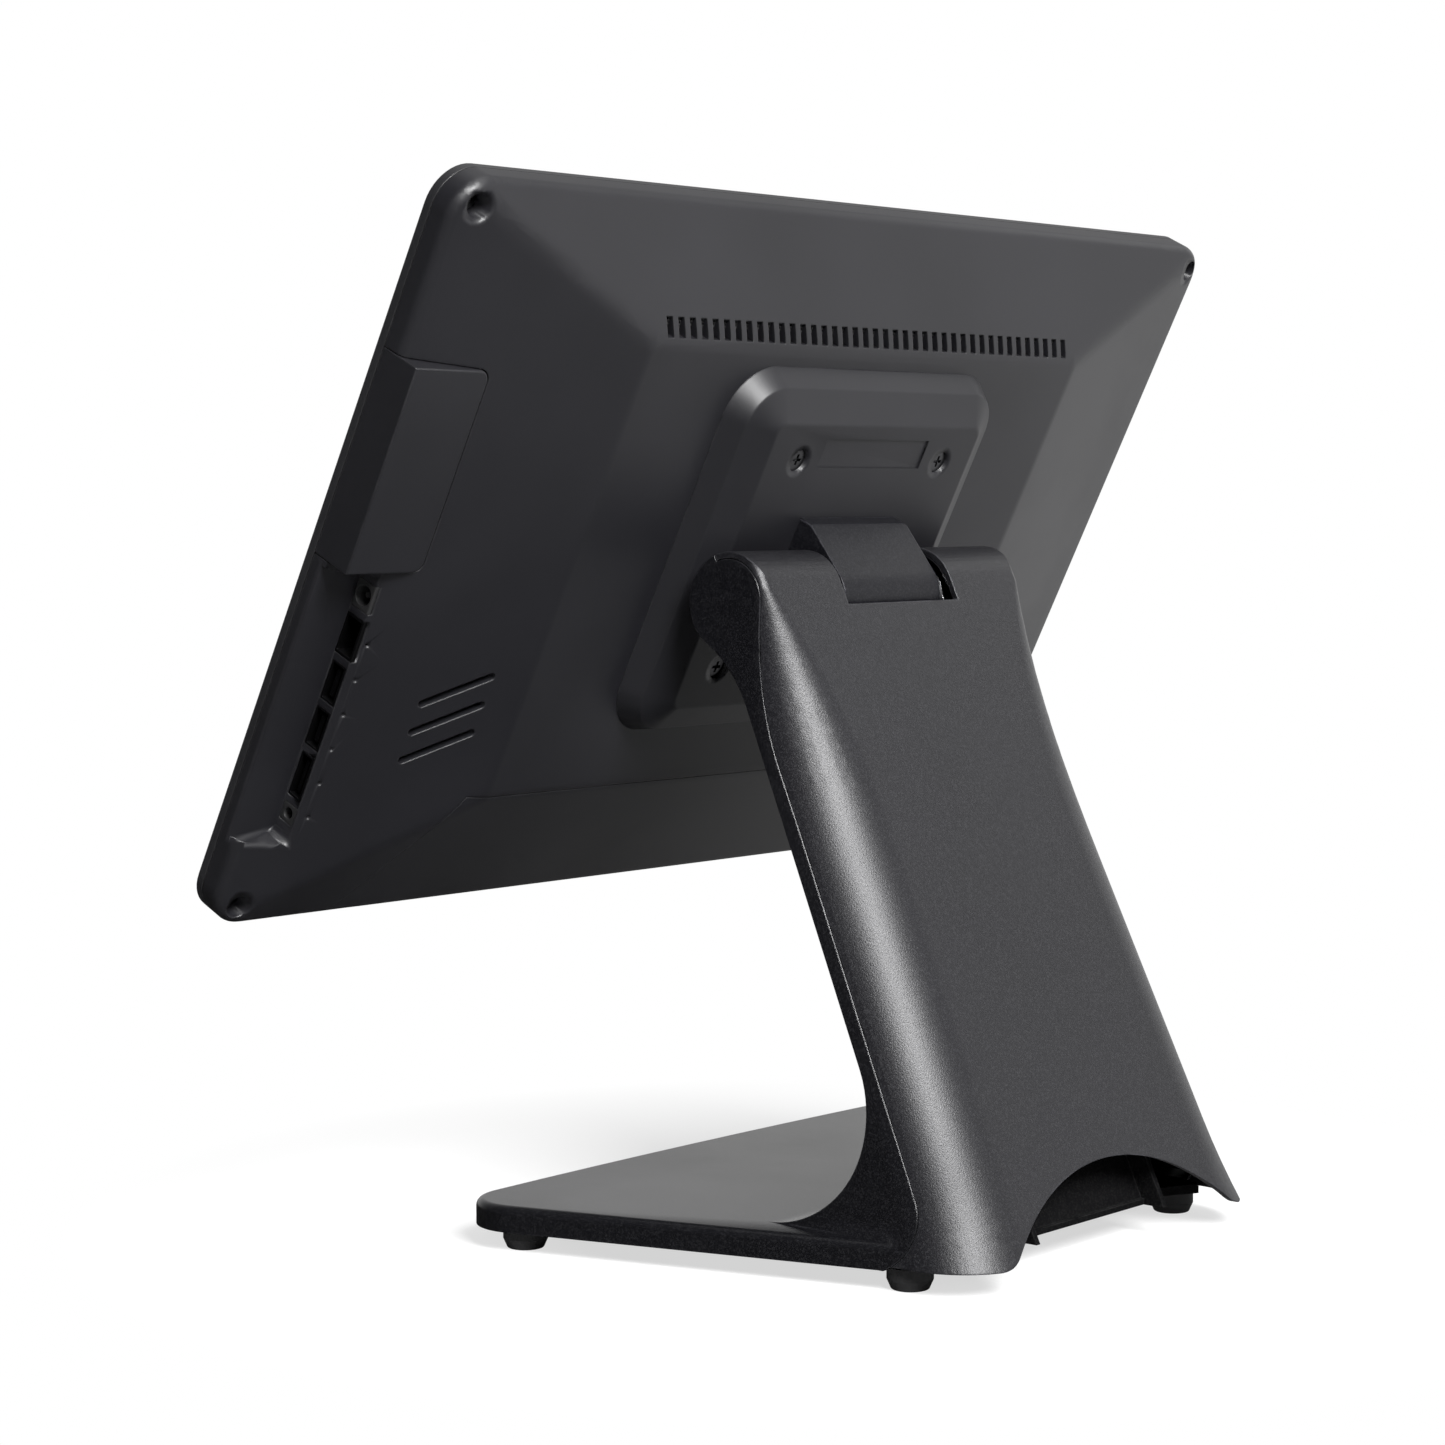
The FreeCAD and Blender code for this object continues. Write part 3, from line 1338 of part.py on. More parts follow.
def make_hinge_nuts():
    """Lock nuts on the outer ends of the shafts."""
    x = stand_ear_x + ear_t + fit_gap + friction_washer_t
    corner = hinge_nut_flats / 2 / cos(radians(30))
    points = [V(x, corner * cos(radians(60 * i)), corner * sin(radians(60 * i))) for i in range(6)]
    nut = polygon(points).extrude(V(hinge_nut_t, 0, 0))
    return group(pair(nut.cut(rod(shaft_r, big, V(0, 0, 0), X_AXIS))))


# --- Build ----------------------------------------------------------------------------------
def head_nodes():
    """Every head piece, upright, by node name."""
    nodes = {
        "rear_cover": make_rear_cover(),
        "bottom_cover": make_bottom_cover(),
        "side_cover": make_side_cover(),
        "front_bezel": make_front_bezel(),
        "touch_glass": make_touch_glass(),
        "panel_gasket": make_panel_gasket(),
        "lcd_panel": make_lcd_panel(),
        "chassis": make_chassis(),
        "board_standoffs": make_standoffs(),
        "mainboard": make_mainboard(),
        "heat_sink": make_heat_sink(),
        "speakers": make_speakers(),
        "port_board": make_port_board(),
        "power_button": make_power_button(),
        "button_switch": make_button_switch(),
        "housing_screws": make_housing_screws(),
        "plate_cover": make_plate_cover(),
        "steel_plate": make_steel_plate(),
        "plate_screws": make_plate_screws(),
        "hinge_cover": make_hinge_cover(),
        "head_bracket": make_head_bracket(),
        "hinge_shafts": make_hinge_shafts(),
        "friction_washers": make_friction_washers(),
        "hinge_nuts": make_hinge_nuts(),
    }
    nodes.update(make_ports())
    return nodes


def stand_nodes():
    """Every stand piece by node name."""
    return {
        "column_shell": make_column_shell(),
        "stand_body": make_stand_body(),
        "base_plate": make_base_plate(),
        "foot_weight": make_foot_weight(),
        "rubber_feet": make_rubber_feet(),
        "base_screws": make_base_screws(),
        "spine": spine_holes(make_spine()),
        "hinge_brackets": make_hinge_brackets(),
        "bracket_screws": make_bracket_screws(),
    }


def main():
    """Write one STEP file per node."""
    os.makedirs("parts", exist_ok=True)
    for name, shape in head_nodes().items():
        tilted(shape).exportStep(f"parts/{name}.step")
    for name, shape in stand_nodes().items():
        shape.exportStep(f"parts/{name}.step")


if __name__ == "__main__":
    main()
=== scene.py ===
"""Looks of a countertop touchscreen terminal: tilting head, hinge tongue, painted stand.

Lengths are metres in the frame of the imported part: +Z up, the screen faces -Y, the ports are
on the +X side. Head pieces ride on "display", the stand on "stand", the key on "button".
"""
import json
import logging
import math
from dataclasses import dataclass, field
from enum import Enum
from typing import Callable, Sequence

import bmesh
import bpy
from mathutils import Matrix, Vector


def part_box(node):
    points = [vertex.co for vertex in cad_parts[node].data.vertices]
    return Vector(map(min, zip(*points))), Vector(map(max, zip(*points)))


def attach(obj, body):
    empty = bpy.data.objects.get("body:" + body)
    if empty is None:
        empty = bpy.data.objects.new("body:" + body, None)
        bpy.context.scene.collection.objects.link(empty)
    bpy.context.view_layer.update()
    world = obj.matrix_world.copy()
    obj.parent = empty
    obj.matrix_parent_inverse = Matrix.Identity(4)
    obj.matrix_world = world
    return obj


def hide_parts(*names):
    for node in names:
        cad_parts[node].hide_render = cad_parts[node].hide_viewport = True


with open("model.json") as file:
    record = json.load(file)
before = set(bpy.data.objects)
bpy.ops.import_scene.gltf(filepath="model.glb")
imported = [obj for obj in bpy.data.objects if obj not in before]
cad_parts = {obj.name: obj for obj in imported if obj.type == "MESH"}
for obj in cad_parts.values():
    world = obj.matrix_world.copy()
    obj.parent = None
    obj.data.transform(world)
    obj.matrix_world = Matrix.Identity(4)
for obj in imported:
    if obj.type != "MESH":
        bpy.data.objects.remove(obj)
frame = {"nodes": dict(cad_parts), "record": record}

log = logging.getLogger("terminal")
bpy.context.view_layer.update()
TILT = math.radians(26.6)      # lean of the head at rest
HINGE = Vector(next(j["pos_m"] for j in frame["record"]["behaviour"]["joints"]
                    if j["name"] == "display_tilt"))


class Body(str, Enum):
    """CAD bodies that pieces ride on."""

    STAND = "stand"
    DISPLAY = "display"
    BUTTON = "button"


Colour = tuple[float, float, float]
Span = tuple[float, float]


# --- Node tools -------------------------------------------------------------------------------
class Tree:
    """Short hand for building a node tree."""

    def __init__(self, tree: bpy.types.NodeTree) -> None:
        """Keep the tree.

        Args:
            tree: Shader or geometry node tree to fill.
        """
        self.tree = tree

    def node(self, kind: str, **settings: object) -> bpy.types.Node:
        """Add a node.

        Args:
            kind: Node type identifier.
            **settings: Node properties; "inputs" maps socket names or indices to values.

        Returns:
            The new node.
        """
        made = self.tree.nodes.new(kind)
        values = settings.pop("inputs", {})
        for name, value in settings.items():
            setattr(made, name, value)
        for key, value in values.items():
            self.feed(made, key, value)
        return made

    def feed(self, node: bpy.types.Node, key: str | int, value: object) -> None:
        """Set a socket's value, or link a socket to it.

        Args:
            node: Node that owns the input.
            key: Input name or index.
            value: Plain value or an output socket.
        """
        socket = node.inputs[key]
        if isinstance(value, bpy.types.NodeSocket):
            self.tree.links.new(value, socket)
        else:
            socket.default_value = value

    def maths(self, operation: str, first: object, second: object = 0.0) -> bpy.types.NodeSocket:
        """Math node.

        Args:
            operation: Blender's name of the operation.
            first: First value or socket.
            second: Second value or socket.

        Returns:
            The result socket.
        """
        made = self.node("ShaderNodeMath", operation=operation, inputs={0: first, 1: second})
        return made.outputs[0]

    def span(self, value: object, low: float, high: float, to_low: float,
             to_high: float) -> bpy.types.NodeSocket:
        """Clamped linear map of a value.

        Args:
            value: Input value or socket.
            low: Input that gives to_low.
            high: Input that gives to_high.
            to_low: Output at low.
            to_high: Output at high.

        Returns:
            The mapped socket.
        """
        made = self.node("ShaderNodeMapRange", inputs={0: value, 1: low, 2: high, 3: to_low,
                                                       4: to_high})
        return made.outputs[0]

    def blend(self, share: object, first: object, second: object) -> bpy.types.NodeSocket:
        """Colour mix.

        Args:
            share: Share of the second colour.
            first: First colour or socket.
            second: Second colour or socket.

        Returns:
            The mixed colour socket.
        """
        made = self.node("ShaderNodeMix", data_type="RGBA")
        for key, value in ((0, share), (6, first), (7, second)):
            if isinstance(value, bpy.types.NodeSocket):
                self.tree.links.new(value, made.inputs[key])
            elif key:
                made.inputs[key].default_value = (*value[:3], 1.0)
            else:
                made.inputs[key].default_value = value
        return made.outputs[2]


def shader_group(name: str, inputs: Sequence[tuple], outputs: Sequence[tuple],
                 fill: Callable[[Tree, dict, dict], None]) -> bpy.types.NodeTree:
    """Build a shader node group once.

    Args:
        name: Group name.
        inputs: (name, socket type, default) of each input.
        outputs: (name, socket type) of each output.
        fill: Function that draws the inside; it gets the tree, input sockets and output node.

    Returns:
        The node group.
    """
    tree = bpy.data.node_groups.new(name, "ShaderNodeTree")
    for label, kind, value in inputs:
        socket = tree.interface.new_socket(label, in_out="INPUT", socket_type=kind)
        socket.default_value = value
    for label, kind in outputs:
        tree.interface.new_socket(label, in_out="OUTPUT", socket_type=kind)
    work = Tree(tree)
    start = work.node("NodeGroupInput")
    end = work.node("NodeGroupOutput")
    fill(work, start.outputs, end)
    return tree


CLOUD_SPAN: Span = (0.3, 0.7)      # noise values that give no cloud and full cloud
TURN_SPAN: Span = (0.995, 0.93)    # cosine of the turn where the lighter edge, worn and painted highlight, starts and is full
PATCH_SCALE = 90.0                 # noise that breaks up the lighter, worn and highlit edges
PATCH_SPAN: Span = (0.35, 0.65)
SMUDGE_SPAN: Span = (0.45, 0.75)


def draw_grain(work: Tree, inputs: dict, end: bpy.types.Node) -> None:
    """Spark-eroded grain: a fine height field and a slow cloud of tone.

    Args:
        work: The group's tree.
        inputs: The group's input sockets.
        end: The group's output node.
    """
    where = work.node("ShaderNodeTexCoord").outputs["Object"]
    fine = work.node("ShaderNodeTexNoise", inputs={"Vector": where, "Scale": inputs["Grain Scale"],
                                                   "Detail": 3.0, "Roughness": 0.65})
    cloud = work.node("ShaderNodeTexNoise", inputs={"Vector": where,
                                                    "Scale": inputs["Cloud Scale"],
                                                    "Detail": 2.0, "Roughness": 0.5})
    work.feed(end, "Height", fine.outputs[0])
    work.feed(end, "Cloud", work.span(cloud.outputs[0], *CLOUD_SPAN, 0.0, 1.0))


def draw_sparkle(work: Tree, inputs: dict, end: bpy.types.Node) -> None:
    """Metal flakes in paint: small cells, a few of them bright, and a fine height.

    Args:
        work: The group's tree.
        inputs: The group's input sockets.
        end: The group's output node.
    """
    where = work.node("ShaderNodeTexCoord").outputs["Object"]
    cells = work.node("ShaderNodeTexVoronoi", inputs={"Vector": where,
                                                      "Scale": inputs["Flake Scale"],
                                                      "Randomness": 1.0})
    tone = work.node("ShaderNodeSeparateColor", inputs={0: cells.outputs["Color"]})
    bright = work.span(tone.outputs[0], inputs["Rarity"], 1.0, 0.0, 1.0)
    soft = work.node("ShaderNodeTexNoise", inputs={"Vector": where,
                                                   "Scale": inputs["Flake Scale"],
                                                   "Detail": 2.0, "Roughness": 0.7})
    work.feed(end, "Flakes", bright)
    work.feed(end, "Height", soft.outputs[0])


def draw_worn_highlit_edges(work: Tree, inputs: dict, end: bpy.types.Node) -> None:
    """Worn and painted-highlit edges: where the surface turns sharply, broken up by noise.

    Args:
        work: The group's tree.
        inputs: The group's input sockets.
        end: The group's output node.
    """
    where = work.node("ShaderNodeTexCoord").outputs["Object"]
    rounded = work.node("ShaderNodeBevel", samples=4, inputs={"Radius": inputs["Width"]})
    plain = work.node("ShaderNodeNewGeometry").outputs["Normal"]
    turn = work.node("ShaderNodeVectorMath", operation="DOT_PRODUCT",
                     inputs={0: rounded.outputs[0], 1: plain})
    edge = work.span(turn.outputs["Value"], *TURN_SPAN, 0.0, 1.0)
    patch = work.node("ShaderNodeTexNoise", inputs={"Vector": where, "Scale": PATCH_SCALE,
                                                    "Detail": 4.0, "Roughness": 0.7})
    broken = work.span(patch.outputs[0], *PATCH_SPAN, 0.0, 1.0)
    # This mask makes edges lighter: worn edges plus a painted highlight.
    work.feed(end, "Edge", work.maths("MULTIPLY", edge, broken))
    work.feed(end, "Normal", rounded.outputs[0])


def draw_smudge(work: Tree, inputs: dict, end: bpy.types.Node) -> None:
    """Handling marks and dust: soft patches that dull the gloss.

    Args:
        work: The group's tree.
        inputs: The group's input sockets.
        end: The group's output node.
    """
    where = work.node("ShaderNodeTexCoord").outputs["Object"]
    broad = work.node("ShaderNodeTexNoise", inputs={"Vector": where, "Scale": inputs["Size"],
                                                    "Detail": 6.0, "Roughness": 0.6,
                                                    "Distortion": 0.4})
    work.feed(end, "Mask", work.span(broad.outputs[0], *SMUDGE_SPAN, 0.0, 1.0))


FLOAT = "NodeSocketFloat"
GROUPS: dict[str, bpy.types.NodeTree] = {}


def build_groups() -> None:
    """Build the shared shader groups."""
    GROUPS["grain"] = shader_group(
        "moulded grain", [("Grain Scale", FLOAT, 2600.0), ("Cloud Scale", FLOAT, 14.0)],
        [("Height", FLOAT), ("Cloud", FLOAT)], draw_grain)
    GROUPS["sparkle"] = shader_group(
        "paint flakes", [("Flake Scale", FLOAT, 2400.0), ("Rarity", FLOAT, 0.7)],
        [("Flakes", FLOAT), ("Height", FLOAT)], draw_sparkle)
    # Its edge mask paints a highlight on edges as well as showing worn edges.
    GROUPS["worn_highlit_edges"] = shader_group(
        "worn and highlit edge", [("Width", FLOAT, 0.0006)],
        [("Edge", FLOAT), ("Normal", "NodeSocketVector")], draw_worn_highlit_edges)
    GROUPS["smudge"] = shader_group(
        "smudges", [("Size", FLOAT, 9.0)], [("Mask", FLOAT)], draw_smudge)


# --- Finishes ---------------------------------------------------------------------------------
def toned(colour: Colour, share: float, lift: float = 0.0) -> Colour:
    """Colour multiplied and lifted, no brighter than white.

    Args:
        colour: Linear colour.
        share: Factor.
        lift: Tone that is added.

    Returns:
        The new colour.
    """
    return tuple(min(c * share + lift, 1.0) for c in colour)


@dataclass(frozen=True)
class Finish:
    """A surface finish of one record slot.

    Attributes:
        name: Material name.
        slot: Record slot of this finish; not used.
        colour: Base colour, linear.
        rough: Roughness.
    """

    name: str
    slot: str
    colour: Colour
    rough: float = 0.5

    def build(self) -> bpy.types.Material:
        """Make the material.

        Returns:
            The new material.
        """
        made = bpy.data.materials.new(self.name)
        made.use_nodes = True
        made.node_tree.nodes.clear()
        work = Tree(made.node_tree)
        skin = work.node("ShaderNodeBsdfPrincipled")
        out = work.node("ShaderNodeOutputMaterial")
        work.feed(out, "Surface", skin.outputs[0])
        work.feed(skin, "Base Color", (*self.colour, 1.0))
        work.feed(skin, "Roughness", self.rough)
        self.dress(work, skin)
        return made

    def dress(self, work: Tree, skin: bpy.types.Node) -> None:
        """Add the finish's own detail.

        Args:
            work: The material's tree.
            skin: Its Principled shader.
        """

    @staticmethod
    def group(work: Tree, name: str, **values: float) -> bpy.types.Node:
        """Place a shared group with its own values.

        Args:
            work: The material's tree.
            name: Key of the group.
            **values: Input values; an underscore in a name stands for a space.

        Returns:
            The group node.
        """
        made = work.node("ShaderNodeGroup", node_tree=GROUPS[name])
        for key, value in values.items():
            work.feed(made, key.replace("_", " "), value)
        return made

    def dull(self, work: Tree, skin: bpy.types.Node, size: float, extra: float) -> None:
        """Let smudges raise the roughness.

        Args:
            work: The material's tree.
            skin: Its Principled shader.
            size: Scale of the smudges.
            extra: Roughness that a full smudge adds.
        """
        smudge = self.group(work, "smudge", Size=size)
        work.feed(skin, "Roughness", work.span(smudge.outputs["Mask"], 0.0, 1.0, self.rough,
                                               self.rough + extra))

    @staticmethod
    def relief(work: Tree, skin: bpy.types.Node, strength: float, depth: float,
               **sources: bpy.types.NodeSocket) -> None:
        """Bump the surface.

        Args:
            work: The material's tree.
            skin: Its Principled shader.
            strength: Strength of the bump.
            depth: Height of the bump.
            **sources: Height socket and, where edges are rounded, Normal socket.
        """
        bump = work.node("ShaderNodeBump", inputs={"Strength": strength, "Distance": depth,
                                                   **sources})
        work.feed(skin, "Normal", bump.outputs[0])


@dataclass(frozen=True)
class MouldedPlastic(Finish):
    """Spark-eroded ABS: fine grain, slow tone changes, lighter edges that are partly worn and
    partly a painted highlight.

    Attributes:
        bump: Strength of the grain.
        bump_depth: Height of the grain.
        grain_scale: Scale of the grain.
        cloud_shares: Darkest and lightest share of the colour in the slow tone changes.
        cloud_lift: Tone added where they are lightest.
        edge_lift: How strongly edges are lightened, partly worn and partly a painted highlight.
        worn_and_highlit_tone: Tone that a fully worn, painted-highlit edge adds at an edge_lift of
            one.
        round_r: Radius of the rounded shading at edges.
        smudge_size: Scale of the smudges.
        smudge_rough: Roughness that a full smudge adds.
    """

    bump: float = 0.12
    bump_depth: float = 0.00012
    grain_scale: float = 2600.0
    cloud_shares: Span = (0.88, 1.12)
    cloud_lift: float = 0.001
    # edge_lift and the tone below paint a highlight on edges as well as a worn edge.
    edge_lift: float = 0.5
    worn_and_highlit_tone: float = 0.035
    round_r: float = 0.0006
    smudge_size: float = 9.0
    smudge_rough: float = 0.06

    def dress(self, work: Tree, skin: bpy.types.Node) -> None:
        """Grain, cloud and lighter edges, partly worn and partly a painted highlight."""
        grain = self.group(work, "grain", Grain_Scale=self.grain_scale)
        worn_highlit_edges = self.group(work, "worn_highlit_edges", Width=self.round_r)
        darker = toned(self.colour, self.cloud_shares[0])
        lighter = toned(self.colour, self.cloud_shares[1], self.cloud_lift)
        # Painted highlight and worn edge: edges get a lighter colour.
        worn_and_highlit = toned(self.colour, 1.0, self.worn_and_highlit_tone * self.edge_lift)
        tone = work.blend(grain.outputs["Cloud"], darker, lighter)
        edge = work.maths("MULTIPLY", worn_highlit_edges.outputs["Edge"], self.edge_lift)
        work.feed(skin, "Base Color", work.blend(edge, tone, worn_and_highlit))
        self.dull(work, skin, self.smudge_size, self.smudge_rough)
        self.relief(work, skin, self.bump, self.bump_depth, Height=grain.outputs["Height"],
                    Normal=worn_highlit_edges.outputs["Normal"])


@dataclass(frozen=True)
class FlakePaint(Finish):
    """Satin paint with fine metal flakes.

    Attributes:
        flake: Colour of the flakes.
        flake_scale: Scale of the flakes.
        rarity: Cells below this value carry no flake.
        metal: Metallic value on a flake.
        least_metal: Share of it that is left between flakes.
        bump: Strength of the relief.
        bump_depth: Height of the relief.
        round_r: Radius of the rounded shading at edges.
        sheen: Specular level.
        cloud_grain: Grain scale handed to the group that gives the slow tone changes.
        cloud_shares: Darkest and lightest share of the colour in those changes.
        edge_share: How strongly edges are lightened, partly worn and partly a painted highlight.
        worn_and_highlit_gain: Colour of a worn, painted-highlit edge, as a multiple of the
            flake's.
        smudge_size: Scale of the smudges.
        smudge_rough: Roughness that a full smudge adds.
    """

    flake: Colour = (0.03, 0.03, 0.032)
    flake_scale: float = 2200.0
    rarity: float = 0.55
    metal: float = 0.3
    least_metal: float = 0.5
    bump: float = 0.6
    bump_depth: float = 0.00015
    round_r: float = 0.0007
    sheen: float = 0.5
    cloud_grain: float = 900.0
    cloud_shares: Span = (0.9, 1.1)
    # edge_share and the gain below paint a highlight on edges as well as a worn edge.
    edge_share: float = 0.45
    worn_and_highlit_gain: float = 5.0
    smudge_size: float = 7.0
    smudge_rough: float = 0.05

    def dress(self, work: Tree, skin: bpy.types.Node) -> None:
        """Flakes, slow tone changes and lighter edges, partly worn and partly a painted highlight.
        """
        flakes = self.group(work, "sparkle", Flake_Scale=self.flake_scale, Rarity=self.rarity)
        worn_highlit_edges = self.group(work, "worn_highlit_edges", Width=self.round_r)
        grain = self.group(work, "grain", Grain_Scale=self.cloud_grain)
        darker, lighter = (toned(self.colour, share) for share in self.cloud_shares)
        tone = work.blend(grain.outputs["Cloud"], darker, lighter)
        lit = work.blend(flakes.outputs["Flakes"], tone, self.flake)
        edge = work.maths("MULTIPLY", worn_highlit_edges.outputs["Edge"], self.edge_share)
        # Painted highlight and worn edge: edges take several times the flake's colour.
        worn_and_highlit = toned(self.flake, self.worn_and_highlit_gain)
        work.feed(skin, "Base Color", work.blend(edge, lit, worn_and_highlit))
        work.feed(skin, "Specular IOR Level", self.sheen)
        work.feed(skin, "Metallic", work.span(flakes.outputs["Flakes"], 0.0, 1.0,
                                              self.metal * self.least_metal, self.metal))
        self.dull(work, skin, self.smudge_size, self.smudge_rough)
        self.relief(work, skin, self.bump, self.bump_depth, Height=flakes.outputs["Height"],
                    Normal=worn_highlit_edges.outputs["Normal"])


@dataclass(frozen=True)
class PlatedMetal(Finish):
    """Plated or oiled metal with fine drawn lines.

    Attributes:
        lines: Strength of the lines.
        line_depth: Height of the lines.
        line_scale: Scale of the noise that draws them.
        stretch: Squeeze of that noise along each axis.
        stain_size: Scale of the stains.
        stain_share: Colour of a stain, as a share of the metal's.
        rough_below: Roughness taken off in the smoothest lines.
        rough_above: Roughness added in the roughest lines.
        round_r: Radius of the rounded shading at edges.
    """

    lines: float = 0.15
    line_depth: float = 0.0001
    line_scale: float = 700.0
    stretch: tuple[float, float, float] = (1.0, 1.0, 9.0)
    stain_size: float = 40.0
    stain_share: float = 0.75
    rough_below: float = 0.06
    rough_above: float = 0.08
    round_r: float = 0.0003

    def dress(self, work: Tree, skin: bpy.types.Node) -> None:
        """Drawn lines, stains and rounded edges."""
        work.feed(skin, "Metallic", 1.0)
        where = work.node("ShaderNodeTexCoord").outputs["Object"]
        turned = work.node("ShaderNodeMapping", inputs={"Vector": where,
                                                        "Scale": self.stretch})
        lines = work.node("ShaderNodeTexNoise", inputs={"Vector": turned.outputs[0],
                                                        "Scale": self.line_scale,
                                                        "Detail": 3.0})
        stains = self.group(work, "smudge", Size=self.stain_size)
        stained = toned(self.colour, self.stain_share)
        work.feed(skin, "Base Color", work.blend(stains.outputs["Mask"], self.colour, stained))
        work.feed(skin, "Roughness", work.span(lines.outputs[0], 0.3, 0.7,
                                               self.rough - self.rough_below,
                                               self.rough + self.rough_above))
        worn_highlit_edges = self.group(work, "worn_highlit_edges", Width=self.round_r)
        self.relief(work, skin, self.lines, self.line_depth, Height=lines.outputs[0],
                    Normal=worn_highlit_edges.outputs["Normal"])


@dataclass(frozen=True)
class ScreenGlass(Finish):
    """Black-bordered touch glass over a switched-off display.

    Attributes:
        active: Colour of the display area.
        half_w: Half the display area's width.
        half_h: Half its height.
        centre_rise: Its middle, up along the screen from the hinge axis.
        border_soft: Width over which the border fades.
        smudge_size: Scale of the smears.
        smudge_rough: Roughness that a full smear adds.
        sheen: Specular level under the coat.
        coat_rough: Roughness of the clear coat.
    """

    active: Colour = (0.02, 0.022, 0.028)
    half_w: float = 0.172
    half_h: float = 0.097
    centre_rise: float = -0.0102
    border_soft: float = 0.0004
    smudge_size: float = 11.0
    smudge_rough: float = 0.03
    sheen: float = 0.15
    coat_rough: float = 0.02

    def dress(self, work: Tree, skin: bpy.types.Node) -> None:
        """Border edge, faint smears and a clear coat."""
        where = work.node("ShaderNodeTexCoord").outputs["Object"]
        upright = work.node("ShaderNodeMapping", vector_type="TEXTURE",
                            inputs={"Vector": where, "Location": HINGE,
                                    "Rotation": (-TILT, 0.0, 0.0)})
        part = work.node("ShaderNodeSeparateXYZ", inputs={0: upright.outputs[0]})
        side = work.maths("ABSOLUTE", part.outputs[0])
        off_centre = work.maths("SUBTRACT", part.outputs[2], self.centre_rise)
        rise = work.maths("ABSOLUTE", off_centre)
        in_x = work.span(side, self.half_w, self.half_w - self.border_soft, 0.0, 1.0)
        in_z = work.span(rise, self.half_h, self.half_h - self.border_soft, 0.0, 1.0)
        inside = work.maths("MULTIPLY", in_x, in_z)
        work.feed(skin, "Base Color", work.blend(inside, self.colour, self.active))
        self.dull(work, skin, self.smudge_size, self.smudge_rough)
        work.feed(skin, "Specular IOR Level", self.sheen)
        work.feed(skin, "Coat Weight", 1.0)
        work.feed(skin, "Coat Roughness", self.coat_rough)


@dataclass(frozen=True)
class SoftRubber(Finish):
    """Matt black rubber or foam with a mottled skin.

    Attributes:
        grain_scale: Scale of the relief.
        cloud_scale: Scale of the mottling.
        light_share: Lightest mottling, as a multiple of the colour.
        light_lift: Tone added to it.
        bump: Strength of the relief.
        bump_depth: Height of the relief.
    """

    grain_scale: float = 1500.0
    cloud_scale: float = 60.0
    light_share: float = 1.5
    light_lift: float = 0.004
    bump: float = 0.35
    bump_depth: float = 0.0002

    def dress(self, work: Tree, skin: bpy.types.Node) -> None:
        """Mottled skin."""
        grain = self.group(work, "grain", Grain_Scale=self.grain_scale,
                           Cloud_Scale=self.cloud_scale)
        lighter = toned(self.colour, self.light_share, self.light_lift)
        work.feed(skin, "Base Color", work.blend(grain.outputs["Cloud"], self.colour, lighter))
        self.relief(work, skin, self.bump, self.bump_depth, Height=grain.outputs["Height"])


@dataclass(frozen=True)
class CircuitBoard(Finish):
    """Solder mask with traces.

    Attributes:
        cell_scale: Scale of the cells whose edges are the traces.
        trace_span: Distances from a cell's edge where a trace ends and the mask begins.
        trace_share: Colour of a trace, as a multiple of the mask's.
        coat: Weight of the clear coat.
    """

    cell_scale: float = 160.0
    trace_span: Span = (0.05, 0.08)
    trace_share: float = 1.9
    coat: float = 0.5

    def dress(self, work: Tree, skin: bpy.types.Node) -> None:
        """Lighter traces along the edges of cells."""
        where = work.node("ShaderNodeTexCoord").outputs["Object"]
        cells = work.node("ShaderNodeTexVoronoi", feature="DISTANCE_TO_EDGE",
                          inputs={"Vector": where, "Scale": self.cell_scale})
        trace = work.span(cells.outputs["Distance"], *self.trace_span, 1.0, 0.0)
        light = toned(self.colour, self.trace_share)
        work.feed(skin, "Base Color", work.blend(trace, self.colour, light))
        work.feed(skin, "Coat Weight", self.coat)


# edge_lift lightens seams and edges: a painted highlight as well as worn edges.
COVER = MouldedPlastic("charcoal_cover", "cover_plastic", (0.0068, 0.0067, 0.0086), 0.42,
                       edge_lift=0.6)
PLATE = MouldedPlastic("charcoal_plate", "plate_plastic", (0.006, 0.0059, 0.0078), 0.46,
                       edge_lift=0.8)
BEZEL = MouldedPlastic("black_bezel", "bezel_plastic", (0.012, 0.012, 0.0135), 0.42)
KEY = MouldedPlastic("key_cap", "button_plastic", (0.04, 0.04, 0.043), 0.4)
DARK = MouldedPlastic("black_moulding", "port_plastic", (0.012, 0.012, 0.0125), 0.5)
SPEAKER = MouldedPlastic("speaker_moulding", "speaker_plastic", (0.014, 0.014, 0.0145), 0.55)
# Flake paints lighten their edges: a painted highlight along seams as well as worn edges.
SHELL = FlakePaint("column_paint", "shell_paint", (0.0058, 0.0057, 0.0074), 0.39,
                   flake=(0.02, 0.02, 0.0225))
